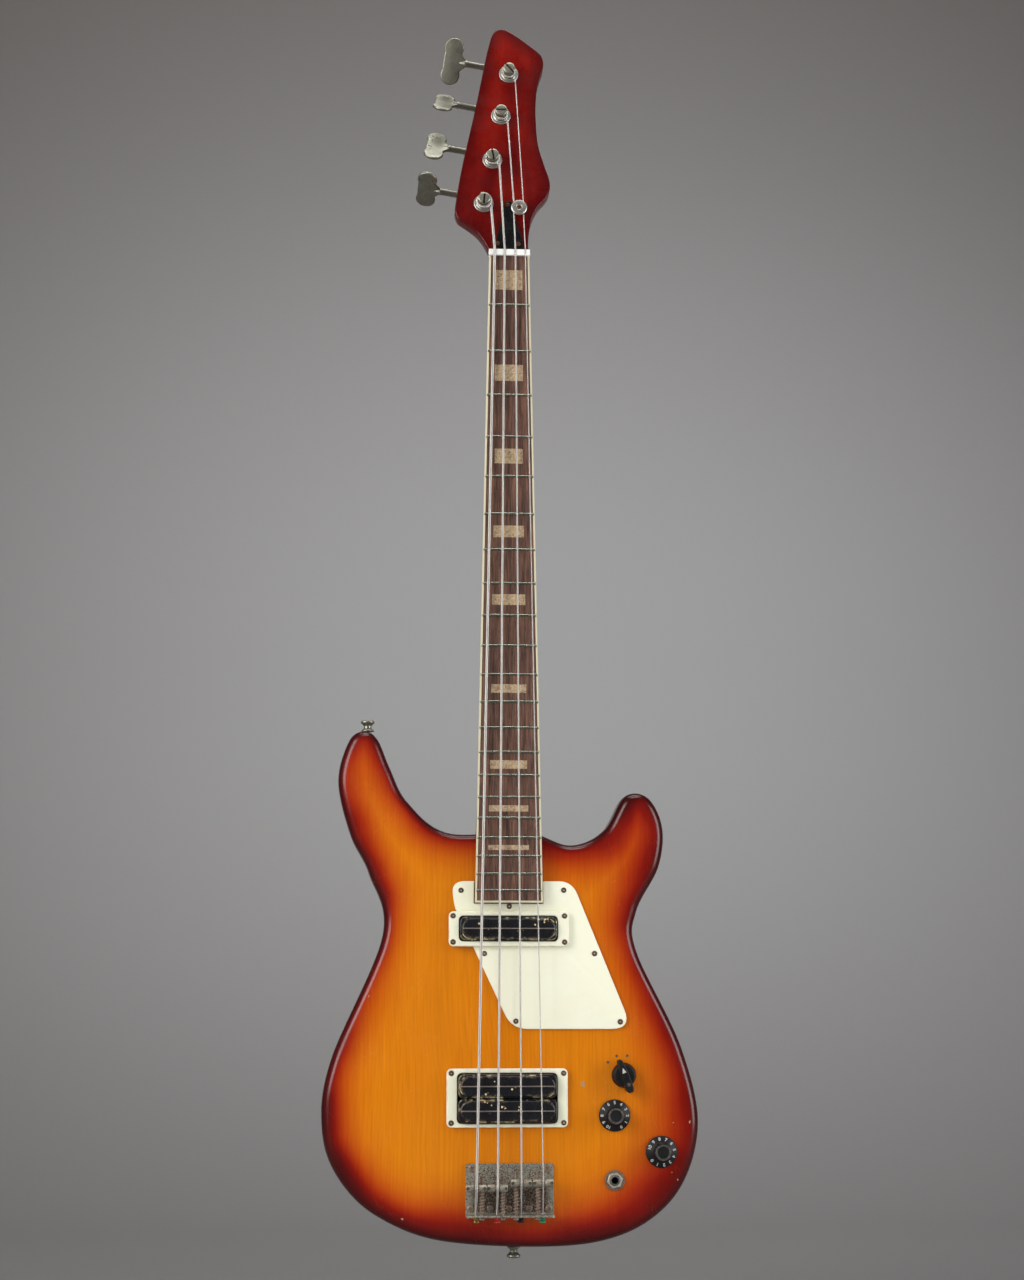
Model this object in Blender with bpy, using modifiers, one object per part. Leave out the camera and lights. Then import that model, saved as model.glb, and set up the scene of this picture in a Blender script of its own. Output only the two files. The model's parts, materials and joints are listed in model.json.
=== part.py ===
"""Four-string solid-body electric bass guitar, standing upright with its face towards -Y.

X runs to the right seen from the front, Y runs into the instrument and Z runs up the neck.
The origin is on the neck's centre line, where the board meets the nut, at the board's top.
Plates and turned pieces are drawn in a face frame: x right, y up the neck, z out of the face.
"""

import math

import bmesh
import bpy
import numpy as np
from mathutils import Matrix, Vector

MM = 0.001
SEAT = 0.3 * MM  # glue line, or the gap between a piece and what it rests on
PAST = 2.0 * MM  # how far a cutter runs past the face that it opens

# Neck and fretboard
SCALE_LENGTH = 863.6 * MM  # long scale, 34 inches
FRET_COUNT = 21
FRET_WIDTH = 2.4 * MM
FRET_HEIGHT = 1.1 * MM
BRIDGE_DISTANCE = 245.6 * MM  # from the board's end to the scale line
BOARD_LENGTH = SCALE_LENGTH - BRIDGE_DISTANCE
BOARD_NUT_WIDTH = 38.6 * MM
BOARD_END_WIDTH = 62.8 * MM
BOARD_THICKNESS = 6.0 * MM
BOARD_CROWN = 240.0 * MM
BINDING_THICKNESS = 1.8 * MM
NECK_DEPTH_NUT = 15.0 * MM  # wood below the board
NECK_DEPTH_HEEL = 18.0 * MM
NECK_SWELL = 300.0 * MM  # where its depth is between the two
NUT_THICKNESS = 6.2 * MM
NUT_WIDTH = 39.6 * MM
ROD_RADIUS = 2.5 * MM
ROD_DEPTH = 10.0 * MM  # the rod's axis below the board's top
ROD_NUT_RADIUS = 3.0 * MM
ROD_END = 20.0 * MM  # wood left between the rod and the board's end
HEEL_LENGTH = 65.0 * MM  # the square part of the neck
HEEL_CURVE = 43.0 * MM  # from there to the round neck
POCKET_LENGTH = 118.0 * MM  # as cut, past the body's edge

# Body, drawn from a zero that lies this far above the scale line
BODY_DATUM = 863.6 * MM
FACE_DEPTH = 12.0 * MM  # the body's face below the board's top
BODY_THICKNESS = 40.0 * MM
BODY_EDGE = 10.0 * MM
POCKET_DEPTH = 16.0 * MM
CAVITY_ROOF = 6.0 * MM  # wood left over the control cavity
COVER_THICKNESS = 2.2 * MM
COVER_LIP = 4.5 * MM
GUARD_THICKNESS = 2.4 * MM
SURROUND_THICKNESS = 4.2 * MM
PICKUP_CAVITY = 18.0 * MM
NECK_PICKUP_HOLE = (-46.5 * MM, 46.0 * MM, -654.5 * MM, -628.8 * MM)  # left, right, bottom, top
BRIDGE_PICKUP_HOLE = (-47.5 * MM, 45.5 * MM, -819.0 * MM, -771.3 * MM)

# Headstock and tuners
HEAD_TILT = math.radians(7.0)
HEAD_DROP = 5.0 * MM  # its face below the board's top, just behind the nut
HEAD_THICKNESS = 14.0 * MM
HEAD_EDGE = 1.6 * MM
TUNER_LEAN = math.radians(10.0)  # the headstock's key edge from the vertical
POST_RADIUS = 5.0 * MM
POST_FLANGE = 1.0 * MM  # the post's rim past its waist
POST_HEIGHT = 13.5 * MM
FERRULE_WALL = 1.3 * MM
FERRULE_FLANGE = 3.0 * MM
GEAR_TEETH = 18
GEAR_MODULE = 1.25 * MM
GEAR_THICKNESS = 4.0 * MM
GEAR_STANDOFF = 6.8 * MM  # gear and worm behind the headstock's back
WORM_CORE = 3.0 * MM
WORM_RIDGE = 0.6 * MM
WORM_TURNS = 2
TUNER_PLATE = 2.0 * MM
EAR_GAP = 6.2 * MM  # from the worm's middle to an ear
EAR_THICKNESS = 2.0 * MM
KEY_RADIUS = 3.2 * MM
JOURNAL_RADIUS = 2.2 * MM  # where the key runs in its ears
KEY_LENGTH = 58.5 * MM  # from the worm's middle to the button's lobes
BUTTON_SPREAD = 13.4 * MM
BUTTON_LOBE = 9.6 * MM
BUTTON_NOTCH = 0.9 * MM
BUTTON_THICKNESS = 3.0 * MM

# Bridge
BRIDGE_LEFT = -38.8 * MM
BRIDGE_RIGHT = 41.2 * MM
BRIDGE_AHEAD = 10.6 * MM  # its front edge from the scale line
BRIDGE_BEHIND = 36.4 * MM
BRIDGE_SHEET = 2.0 * MM
BRIDGE_WALL = 17.5 * MM
HOLE_HEIGHT = 9.0 * MM  # string holes above the body's face
SADDLE_RADIUS = 3.5 * MM
SADDLE_WIDTH = 18.6 * MM
SADDLE_GROOVE = 0.9 * MM
SADDLE_TRAVEL = 6.0 * MM
SCREW_RADIUS = 1.5 * MM
SCREW_OFFSET = 4.9 * MM  # intonation screw beside the string
HEIGHT_SCREW_OFFSET = 7.7 * MM
HEIGHT_SCREW_RADIUS = 1.2 * MM
SPRING_WIRE = 0.35 * MM
SPRING_RADIUS = 2.35 * MM

# Strings, from the thickest: diameter, place at the nut and at the saddle,
# and how far behind the scale line it sits
STRINGS = {
    "e": dict(gauge=2.67, nut=-14.3, saddle=-29.7, behind=10.4, turns=1.25, post=(-24.3, 49.7)),
    "a": dict(gauge=2.16, nut=-4.7, saddle=-10.6, behind=10.4, turns=1.5, post=(-15.7, 96.5)),
    "d": dict(gauge=1.65, nut=5.7, saddle=10.9, behind=5.9, turns=1.75, post=(-7.2, 144.5)),
    "g": dict(gauge=1.14, nut=15.3, saddle=30.6, behind=5.9, turns=2.0, post=(0.9, 190.6)),
}
BUTTON_ANGLES = {"e": 73.0, "a": -30.0, "d": -43.0, "g": 31.0}
SLOT_ANGLES = {"e": 85.0, "a": 100.0, "d": 0.0, "g": 130.0}
ACTION_NUT = 1.6 * MM  # strings' underside above the board's top at the nut
ACTION_SADDLE = 5.6 * MM
TREE_AT = (9.6 * MM, 43.0 * MM)  # on the headstock's face
TREE_RADIUS = 7.9 * MM
TREE_STRING_HEIGHT = 5.0 * MM
TREE_STRINGS = {"d": 4.6 * MM, "g": 13.9 * MM}
BALL_RADIUS = 2.9 * MM
BALL_LENGTH = 4.6 * MM
WINDING_GAP = 0.46 * MM
HELIX_STEPS = 24
CURL_STEPS = 8
CURLS = {"e": 7, "a": 7, "d": 8, "g": 8}

# Controls, on the body's face
SWITCH_AT = (106.0, -774.7)
VOLUME_AT = (97.2, -810.9)
TONE_AT = (140.0, -843.5)
JACK_AT = (97.1, -868.8)
STRAP_TAIL_X = 6.0 * MM
SHAFT_RADIUS = 3.0 * MM
BUSH_RADIUS = 4.2 * MM
SOCKET_BORE = 3.2 * MM
SOCKET_SLEEVE = 4.6 * MM
JACK_NUT_ACROSS = 12.7 * MM
SWITCH_REST = math.radians(20.0)  # the pointer's lean to the left of straight up

# Horns, cutaways, waist and hips, anticlockwise from the long horn's tip, in millimetres
BODY_POINTS = [
    (-136, -459), (-149, -468), (-158, -506), (-146, -555), (-129, -591), (-116, -648), (-162, -760),
    (-169, -819), (-156, -864), (-118, -901), (-50, -924), (77, -925), (147, -891), (175, -826),
    (161, -751), (119, -662), (120, -625), (141, -584), (144, -547), (131, -520), (111, -520),
    (90, -551), (58, -566), (16, -552), (-56, -554), (-95, -525), (-125, -465),
]
# Headstock, anticlockwise from its lower right, as (x, y) on its face
HEAD_POINTS = [
    (19.2, 0), (20, 22), (24.5, 41), (38, 64.5), (38.5, 78), (33.5, 103), (28.5, 134), (28, 164),
    (31, 185), (34.5, 196.5), (35.2, 206), (31.5, 215), (20.4, 225.7), (4.6, 237.3), (-3.5, 241),
    (-10.5, 240.2), (-15.4, 233.5), (-20.9, 211.5), (-43.5, 86), (-50.6, 46), (-50, 36.5),
    (-42.5, 30), (-26.5, 16), (-19.6, 0),
]
CAVITY_POINTS = [
    (84, -760), (118, -757), (133, -793), (152, -830), (150, -860), (118, -884), (88, -885),
    (79, -820),
]
# The guard's corners, each with the length of edge that its curve takes
GUARD_TOP = -598 * MM
GUARD_CORNERS = [
    (-53, -598, 13), (-50, -622, 9), (3, -733, 15), (114, -733, 14), (59, -598, 12.5),
]
COVER_HALF_WIDTHS = [
    (2.0, 13.9), (8.0, 13.3), (16.0, 11.2), (26.0, 8.6), (36.0, 6.5), (44.0, 5.0), (49.5, 3.9),
    (52.0, 2.0),
]

FRONT = Matrix.Rotation(math.radians(90.0), 4, "X")
BODY_SHIFT = SCALE_LENGTH - BODY_DATUM  # the body's zero below the nut
FACE = Matrix.Translation((0, FACE_DEPTH, -BODY_SHIFT)) @ FRONT
BRIDGE_FRONT = -BODY_DATUM + BRIDGE_AHEAD
BRIDGE_REAR = -BODY_DATUM - BRIDGE_BEHIND
BOARD_END = -BODY_DATUM + BRIDGE_DISTANCE
POST_RIM = POST_RADIUS + POST_FLANGE
FERRULE_SLEEVE = POST_RADIUS + SEAT + FERRULE_WALL
FERRULE_RADIUS = FERRULE_SLEEVE + FERRULE_FLANGE
GEAR_PLANE = HEAD_THICKNESS + GEAR_STANDOFF
HEAD_START = NUT_THICKNESS + 2 * SEAT
HEAD = Matrix.Translation((0, HEAD_DROP, HEAD_START)) @ Matrix.Rotation(-HEAD_TILT, 4, "X") @ FRONT
PITCH = math.pi * GEAR_MODULE
GEAR_RADIUS = GEAR_MODULE * GEAR_TEETH / 2
WORM_RADIUS = WORM_CORE + WORM_RIDGE
CENTRE_DISTANCE = GEAR_RADIUS + WORM_RADIUS + 0.05 * MM

FINISHES = {
    "sunburst": ((0.72, 0.21, 0.02), 0.35, 0.0),
    "red_stain": ((0.33, 0.012, 0.01), 0.35, 0.0),
    "rosewood": ((0.12, 0.05, 0.03), 0.55, 0.0),
    "cream": ((0.87, 0.84, 0.68), 0.4, 0.0),
    "bone": ((0.9, 0.89, 0.84), 0.45, 0.0),
    "nickel": ((0.52, 0.52, 0.45), 0.4, 1.0),
    "steel": ((0.6, 0.6, 0.6), 0.3, 1.0),
    "rusty_steel": ((0.35, 0.26, 0.2), 0.6, 1.0),
    "black": ((0.02, 0.02, 0.02), 0.4, 0.0),
    "tin": ((0.55, 0.55, 0.56), 0.5, 1.0),
}


def clear_scene():
    for obj in list(bpy.data.objects):
        bpy.data.objects.remove(obj, do_unlink=True)


def finish(name):
    """The named material, made on first use."""
    if name not in bpy.data.materials:
        colour, roughness, metallic = FINISHES[name]
        made = bpy.data.materials.new(name)
        made.use_nodes = True
        shader = made.node_tree.nodes["Principled BSDF"]
        shader.inputs["Base Color"].default_value = (*colour, 1)
        shader.inputs["Roughness"].default_value = roughness
        shader.inputs["Metallic"].default_value = metallic
    return bpy.data.materials[name]


def add(name, mesh, look, place):
    """Puts a mesh in the scene: a part when it has a look, and otherwise a hidden tool."""
    obj = bpy.data.objects.new(name, mesh)
    obj.matrix_world = place
    if look is None:
        bpy.data.collections["tools"].objects.link(obj)
        obj.hide_render = True
        obj.display_type = "WIRE"
    else:
        bpy.data.collections["bass_guitar"].objects.link(obj)
        mesh.materials.append(finish(look))
        obj.parent = bpy.data.objects["guitar_frame"]
    return obj


def boolean(target, tool, operation):
    made = target.modifiers.new(tool.name, "BOOLEAN")
    made.operation = operation
    made.object = tool


def cut(target, *tools):
    for tool in tools:
        boolean(target, tool, "DIFFERENCE")


def join(target, *tools):
    for tool in tools:
        boolean(target, tool, "UNION")


def shade(obj):
    obj.data.shade_smooth()
    obj.data.set_sharp_from_angle(angle=math.radians(35))


def box(name, low, high, look, place=Matrix(), edge=0.0):
    """A box between two corners, with its edges rounded."""
    low, high = Vector(low), Vector(high)
    made = bmesh.new()
    spread = Matrix.Translation((low + high) / 2) @ Matrix.Diagonal((*(high - low), 1))
    bmesh.ops.create_cube(made, size=1, matrix=spread)
    mesh = bpy.data.meshes.new(name)
    made.to_mesh(mesh)
    made.free()
    obj = add(name, mesh, look, place)
    if edge:
        bevel = obj.modifiers.new("edges", "BEVEL")
        bevel.width = edge
        bevel.segments = 2
    return obj


def turned(name, profile, steps, look, place=Matrix(), closed=False):
    """A profile of (radius, height), run down its outer side, turned about z."""
    mesh = bpy.data.meshes.new(name)
    edges = [(i, i + 1) for i in range(len(profile) - 1)]
    if closed:
        edges.append((len(profile) - 1, 0))
    mesh.from_pydata([(radius, 0, height) for radius, height in profile], edges, [])
    obj = add(name, mesh, look, place)
    screw = obj.modifiers.new("turn", "SCREW")
    screw.axis = "Z"
    screw.steps = screw.render_steps = steps
    screw.use_merge_vertices = True
    screw.merge_threshold = 1e-5
    return obj


def rod(name, radius, low, high, steps, look, place=Matrix()):
    """A cylinder along z."""
    made = bmesh.new()
    middle = Matrix.Translation((0, 0, (low + high) / 2))
    bmesh.ops.create_cone(
        made, cap_ends=True, segments=steps, radius1=radius, radius2=radius, depth=high - low,
        matrix=middle,
    )
    mesh = bpy.data.meshes.new(name)
    made.to_mesh(mesh)
    made.free()
    return add(name, mesh, look, place)


def solid_curve(curve, look, place):
    """The curve as a welded mesh."""
    name = curve.name
    holder = bpy.data.objects.new(name + "_curve", curve)
    bpy.context.scene.collection.objects.link(holder)
    graph = bpy.context.evaluated_depsgraph_get()
    mesh = bpy.data.meshes.new_from_object(holder.evaluated_get(graph))
    bpy.data.objects.remove(holder, do_unlink=True)
    mesh.name = name
    mesh.materials.clear()
    made = bmesh.new()
    made.from_mesh(mesh)
    bmesh.ops.remove_doubles(made, verts=made.verts, dist=1e-6)
    bmesh.ops.recalc_face_normals(made, faces=made.faces)
    made.to_mesh(mesh)
    made.free()
    return add(name, mesh, look, place)


def plate(name, loops, low, high, look, place=Matrix(), edge=0.0, edge_steps=1):
    """Flat outlines, the inner ones as holes, from height low to high, with rounded rims."""
    curve = bpy.data.curves.new(name, "CURVE")
    curve.dimensions = "2D"
    curve.fill_mode = "BOTH"
    curve.extrude = (high - low) / 2 - edge
    curve.bevel_depth = edge
    curve.offset = -edge
    curve.bevel_resolution = edge_steps
    for loop in loops:
        spline = curve.splines.new("POLY")
        spline.points.add(len(loop) - 1)
        for point, (x, y) in zip(spline.points, loop):
            point.co = (x, y, 0, 1)
        spline.use_cyclic_u = True
    return solid_curve(curve, look, place @ Matrix.Translation((0, 0, (low + high) / 2)))


def tube(name, points, radius, look, place=Matrix(), resolution=1, widths=None):
    """A round wire along the points, with a width factor for each where given."""
    curve = bpy.data.curves.new(name, "CURVE")
    curve.dimensions = "3D"
    curve.bevel_depth = radius
    curve.bevel_resolution = resolution
    curve.use_fill_caps = True
    spline = curve.splines.new("POLY")
    spline.points.add(len(points) - 1)
    for i, point in enumerate(points):
        spline.points[i].co = (*point, 1)
        spline.points[i].radius = widths[i] if widths else 1.0
    return solid_curve(curve, look, place)


def loft(name, rings, look, place=Matrix()):
    """A skin over rings of equal point counts, capped at both ends."""
    rings = np.asarray(rings, float)
    count, around = rings.shape[:2]
    mesh = bpy.data.meshes.new(name)
    faces = []
    for i in range(0, (count - 1) * around, around):
        for j in range(around):
            k = (j + 1) % around
            faces.append((i + j, i + k, i + around + k, i + around + j))
    faces += [tuple(range(around))[::-1], tuple(range((count - 1) * around, count * around))]
    mesh.from_pydata(rings.reshape(-1, 3).tolist(), [], faces)
    made = bmesh.new()
    made.from_mesh(mesh)
    bmesh.ops.recalc_face_normals(made, faces=made.faces)
    made.to_mesh(mesh)
    made.free()
    return add(name, mesh, look, place)


def smooth_loop(points, per_span, closed=True):
    """A Catmull-Rom curve through points in millimetres, as (x, y) in metres."""
    points = np.asarray(points, float) * MM
    count = len(points)
    spans = range(count) if closed else range(count - 1)
    made = []
    for i in spans:
        near = [(i + k) % count if closed else min(max(i + k, 0), count - 1) for k in (-1, 0, 1, 2)]
        p0, p1, p2, p3 = points[near]
        bend = 2 * p0 - 5 * p1 + 4 * p2 - p3
        twist = 3 * p1 - p0 - 3 * p2 + p3
        for t in np.arange(per_span) / per_span:
            made.append(0.5 * (2 * p1 + (p2 - p0) * t + bend * t**2 + twist * t**3))
    if not closed:
        made.append(points[-1])
    return [tuple(point) for point in made]


def eased_corners(corners, steps):
    """Corners (x, y, reach) in millimetres, each softened into a parabola within its reach."""
    points = np.array([corner[:2] for corner in corners], float) * MM
    made = []
    neighbours = zip(np.roll(points, 1, 0), points, np.roll(points, -1, 0))
    for (before, corner, after), (_, _, reach) in zip(neighbours, corners):
        start = corner + (before - corner) * (reach * MM / np.linalg.norm(before - corner))
        end = corner + (after - corner) * (reach * MM / np.linalg.norm(after - corner))
        for t in np.linspace(0, 1, steps + 1):
            made.append(tuple((1 - t) ** 2 * start + 2 * t * (1 - t) * corner + t * t * end))
    return made


def rounded_rectangle(left, right, bottom, top, radius, steps=4):
    """Corners as quarter circles, anticlockwise from the lower right."""
    corners = [(right - radius, bottom + radius, -90), (right - radius, top - radius, 0)]
    corners += [(left + radius, top - radius, 90), (left + radius, bottom + radius, 180)]
    made = []
    for x, y, start in corners:
        for k in range(steps + 1):
            angle = math.radians(start + 90 * k / steps)
            made.append((x + radius * math.cos(angle), y + radius * math.sin(angle)))
    return made


def grown(loop, distance):
    """The loop moved outwards along its own normals."""
    points = np.asarray(loop)
    along = np.roll(points, -1, 0) - np.roll(points, 1, 0)
    normal = np.stack([along[:, 1], -along[:, 0]], 1)
    normal /= np.linalg.norm(normal, axis=1)[:, None]
    turning = np.sum(points[:, 0] * np.roll(points[:, 1], -1) - points[:, 1] * np.roll(points[:, 0], -1))
    return [tuple(point) for point in points + normal * distance * np.sign(turning)]


def at(place, x, y, z=0.0):
    return place @ Matrix.Translation((x, y, z))


def half_width(along):
    """Half the board's width, with its binding, this far below the nut."""
    return (BOARD_NUT_WIDTH + (BOARD_END_WIDTH - BOARD_NUT_WIDTH) * along / BOARD_LENGTH) / 2


def heel_slot(low, high, clearance):
    """The board's tapering sides between two heights on the body, moved outwards."""
    wide, narrow = (half_width(BODY_SHIFT - y) + clearance for y in (low, high))
    return [(wide, low), (narrow, high), (-narrow, high), (-wide, low)]


def crown(x):
    return x * x / (2 * BOARD_CROWN)


def fret_place(number):
    """Distance of a fret from the nut, in equal temperament."""
    return SCALE_LENGTH * (1 - 2 ** (-number / 12))


def build_body():
    body = plate("body", [smooth_loop(BODY_POINTS, 3)], -BODY_THICKNESS, 0, "sunburst", FACE, BODY_EDGE, 1)
    pocket = heel_slot(BOARD_END - SEAT, BOARD_END + POCKET_LENGTH, SEAT)
    cut(body, plate("pocket_cutter", [pocket], -POCKET_DEPTH, PAST, None, FACE))
    for name, hole in (("neck", NECK_PICKUP_HOLE), ("bridge", BRIDGE_PICKUP_HOLE)):
        loop = rounded_rectangle(*hole, 3 * MM, 2)
        cut(body, plate(name + "_cavity_cutter", [loop], -PICKUP_CAVITY, PAST, None, FACE))
    cavity = smooth_loop(CAVITY_POINTS, 2)
    cover_seat = -BODY_THICKNESS + COVER_THICKNESS + SEAT
    cut(body, plate("control_cavity_cutter", [cavity], -BODY_THICKNESS - PAST, -CAVITY_ROOF, None, FACE))
    rebate = [grown(cavity, COVER_LIP)]
    cut(body, plate("cover_rebate_cutter", rebate, -BODY_THICKNESS - PAST, cover_seat, None, FACE))
    bores = (("switch", SWITCH_AT, BUSH_RADIUS), ("volume", VOLUME_AT, BUSH_RADIUS))
    bores += (("tone", TONE_AT, BUSH_RADIUS), ("jack", JACK_AT, SOCKET_SLEEVE))
    for name, (x, y), radius in bores:
        place = at(FACE, x * MM, y * MM)
        cut(body, rod(name + "_bore_cutter", radius + SEAT, -CAVITY_ROOF - PAST, PAST, 12, None, place))
    shade(body)
    plate("control_cover", [grown(cavity, COVER_LIP - SEAT)], -BODY_THICKNESS, cover_seat - SEAT, "black", FACE)


def neck_section(along, half, top, back, squareness):
    """A flat top and a rounded back: a superellipse, squarer at the heel."""
    ring = []
    for angle in np.linspace(0, math.pi, 11):
        x = half * math.copysign(abs(math.cos(angle)) ** squareness, math.cos(angle))
        depth = (back - top) * abs(math.sin(angle)) ** squareness
        ring.append((x, top + depth, along))
    return ring


def build_neck():
    top = BOARD_THICKNESS + SEAT
    round_back = 0.78
    heel_back = FACE_DEPTH + POCKET_DEPTH - SEAT
    nut_end = half_width(0)
    heel = BOARD_LENGTH - HEEL_LENGTH
    stations = [
        (BOARD_LENGTH, heel_back, 0.12),
        (heel, heel_back, 0.14),
        (heel - 0.28 * HEEL_CURVE, heel_back - 0.6 * MM, 0.35),
        (heel - 0.58 * HEEL_CURVE, heel_back - 2.4 * MM, 0.6),
        (heel - HEEL_CURVE, top + NECK_DEPTH_HEEL, round_back),
        (NECK_SWELL, top + NECK_DEPTH_NUT * 0.4 + NECK_DEPTH_HEEL * 0.6, round_back),
        (30 * MM, top + NECK_DEPTH_NUT, round_back),
        (0, top + NECK_DEPTH_NUT, round_back),
    ]
    rings = [neck_section(-along, half_width(along), top, back, square) for along, back, square in stations]
    rings.append(neck_section(HEAD_START, nut_end + 0.3 * MM, top, top + NECK_DEPTH_NUT, round_back))
    inside = HEAD_START + 16 * MM
    rings.append(neck_section(inside, nut_end - 4 * MM, top + 4 * MM, HEAD_DROP + HEAD_THICKNESS, round_back))
    neck = loft("neck", rings, "red_stain")
    outline = smooth_loop(HEAD_POINTS, 2, closed=False)
    join(neck, plate("headstock_slab", [outline], -HEAD_THICKNESS, 0, None, HEAD, HEAD_EDGE, 0))
    channel = ROD_RADIUS + 2 * SEAT
    floor = ROD_DEPTH + ROD_NUT_RADIUS + 2 * SEAT
    low, high = (-channel, 0, ROD_END - BOARD_LENGTH - PAST), (channel, ROD_DEPTH + channel, HEAD_START)
    cut(neck, box("rod_channel_cutter", low, high, None))
    pocket = ROD_NUT_RADIUS + 2 * SEAT
    cut(neck, box("rod_pocket_cutter", (-pocket, 0, HEAD_START - PAST), (pocket, floor, 27 * MM), None))
    for name, string in STRINGS.items():
        x, y = (value * MM for value in string["post"])
        low = -HEAD_THICKNESS - PAST
        bore = rod(f"ferrule_bore_{name}", FERRULE_SLEEVE + SEAT, low, PAST, 12, None, at(HEAD, x, y))
        cut(neck, bore)
    shade(neck)


def build_board():
    """Fretboard with its frets pressed in, binding and nut."""
    half_board = [half_width(0), half_width(BOARD_LENGTH)]
    inset = BINDING_THICKNESS + SEAT
    length = BOARD_LENGTH - inset
    stations = [(0.0, 0.0)]
    for number in range(1, FRET_COUNT + 1):
        middle = fret_place(number)
        for share, height in ((-0.5, 0), (-0.2, 1), (0.2, 1), (0.5, 0)):
            stations.append((middle + share * FRET_WIDTH, height * FRET_HEIGHT))
    stations.append((length, 0.0))
    rings = []
    for along, height in stations:
        half = half_width(along) - inset
        across = np.linspace(-half, half, 4)
        ring = [(x, crown(x) - height, -along) for x in across]
        rings.append(ring + [(half, BOARD_THICKNESS, -along), (-half, BOARD_THICKNESS, -along)])
    shade(loft("fretboard", rings, "rosewood"))

    def strip(x_out, z_out, x_in, z_in):
        top = [(x_out, crown(x_out), z_out), (x_in, crown(x_in), z_in)]
        return top + [(x_in, BOARD_THICKNESS, z_in), (x_out, BOARD_THICKNESS, z_out)]

    wall = BINDING_THICKNESS
    end = half_board[1]
    sections = [strip(-half_board[0], 0, -half_board[0] + wall, 0)]
    for share in np.linspace(-1, 1, 7):
        sections.append(strip(end * share, -BOARD_LENGTH, (end - wall) * share, -BOARD_LENGTH + wall))
    sections.append(strip(half_board[0], 0, half_board[0] - wall, 0))
    loft("binding", sections, "cream")

    nut_top = -ACTION_NUT - 0.9 * MM
    half = NUT_WIDTH / 2
    nut = box("nut", (-half, nut_top, SEAT), (half, BOARD_THICKNESS, SEAT + NUT_THICKNESS), "bone")
    for name, string in STRINGS.items():
        radius = string["gauge"] * MM / 2
        place = Matrix.Translation((string["nut"] * MM, -ACTION_NUT - radius, 0))
        cut(nut, rod(f"nut_slot_{name}", radius + SEAT, -PAST, NUT_THICKNESS + PAST, 8, None, place))

    nut_low, nut_high, foot = HEAD_START + 3 * MM, 21 * MM, ROD_END - BOARD_LENGTH
    profile = [(0, nut_high), (ROD_NUT_RADIUS, nut_high), (ROD_NUT_RADIUS, nut_low)]
    profile += [(ROD_RADIUS, nut_low), (ROD_RADIUS, foot), (0, foot)]
    place = Matrix.Translation((0, ROD_DEPTH, 0)) @ Matrix.Rotation(math.radians(30), 4, "Z")
    shade(turned("truss_rod", profile, 6, "steel", place))


def build_head_fittings():
    right = [(half * MM, y * MM) for y, half in COVER_HALF_WIDTHS]
    left = [(-x, y) for x, y in reversed(right)]
    plate("truss_rod_cover", [right + left], SEAT, SEAT + 1.6 * MM, "black", HEAD)
    low = TREE_STRING_HEIGHT + STRINGS["d"]["gauge"] * MM / 2 + SEAT
    tree = [
        (0, low + 1.6 * MM), (2.4 * MM, low + 1.6 * MM), (2.7 * MM, low + 2.2 * MM),
        (TREE_RADIUS - 0.7 * MM, low + 1.9 * MM), (TREE_RADIUS, low + 1.2 * MM),
        (TREE_RADIUS - 0.3 * MM, low), (2.4 * MM, low), (2.4 * MM, SEAT), (0, SEAT),
    ]
    shade(turned("string_tree", tree, 14, "nickel", at(HEAD, *TREE_AT)))


def tuner_place(name):
    x, y = (value * MM for value in STRINGS[name]["post"])
    return at(HEAD, x, y) @ Matrix.Rotation(-TUNER_LEAN, 4, "Z")


def gear_loop(height):
    """One toothed ring of the wheel, turned a little with height to follow the worm."""
    tip = CENTRE_DISTANCE - WORM_CORE - 0.35 * MM
    root = CENTRE_DISTANCE - WORM_RADIUS - WORM_RIDGE - SEAT
    lead = PITCH / (2 * math.pi * WORM_RADIUS)
    twist = height * lead / GEAR_RADIUS
    ring = []
    for tooth in range(GEAR_TEETH):
        middle = math.pi / 2 + twist + 2 * math.pi * (tooth + 0.5) / GEAR_TEETH
        for share, radius in ((-0.5, root), (-0.13, tip), (0.13, tip)):
            angle = middle + share * 2 * math.pi / GEAR_TEETH
            ring.append((radius * math.cos(angle), radius * math.sin(angle), height - GEAR_PLANE))
    return ring


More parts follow.
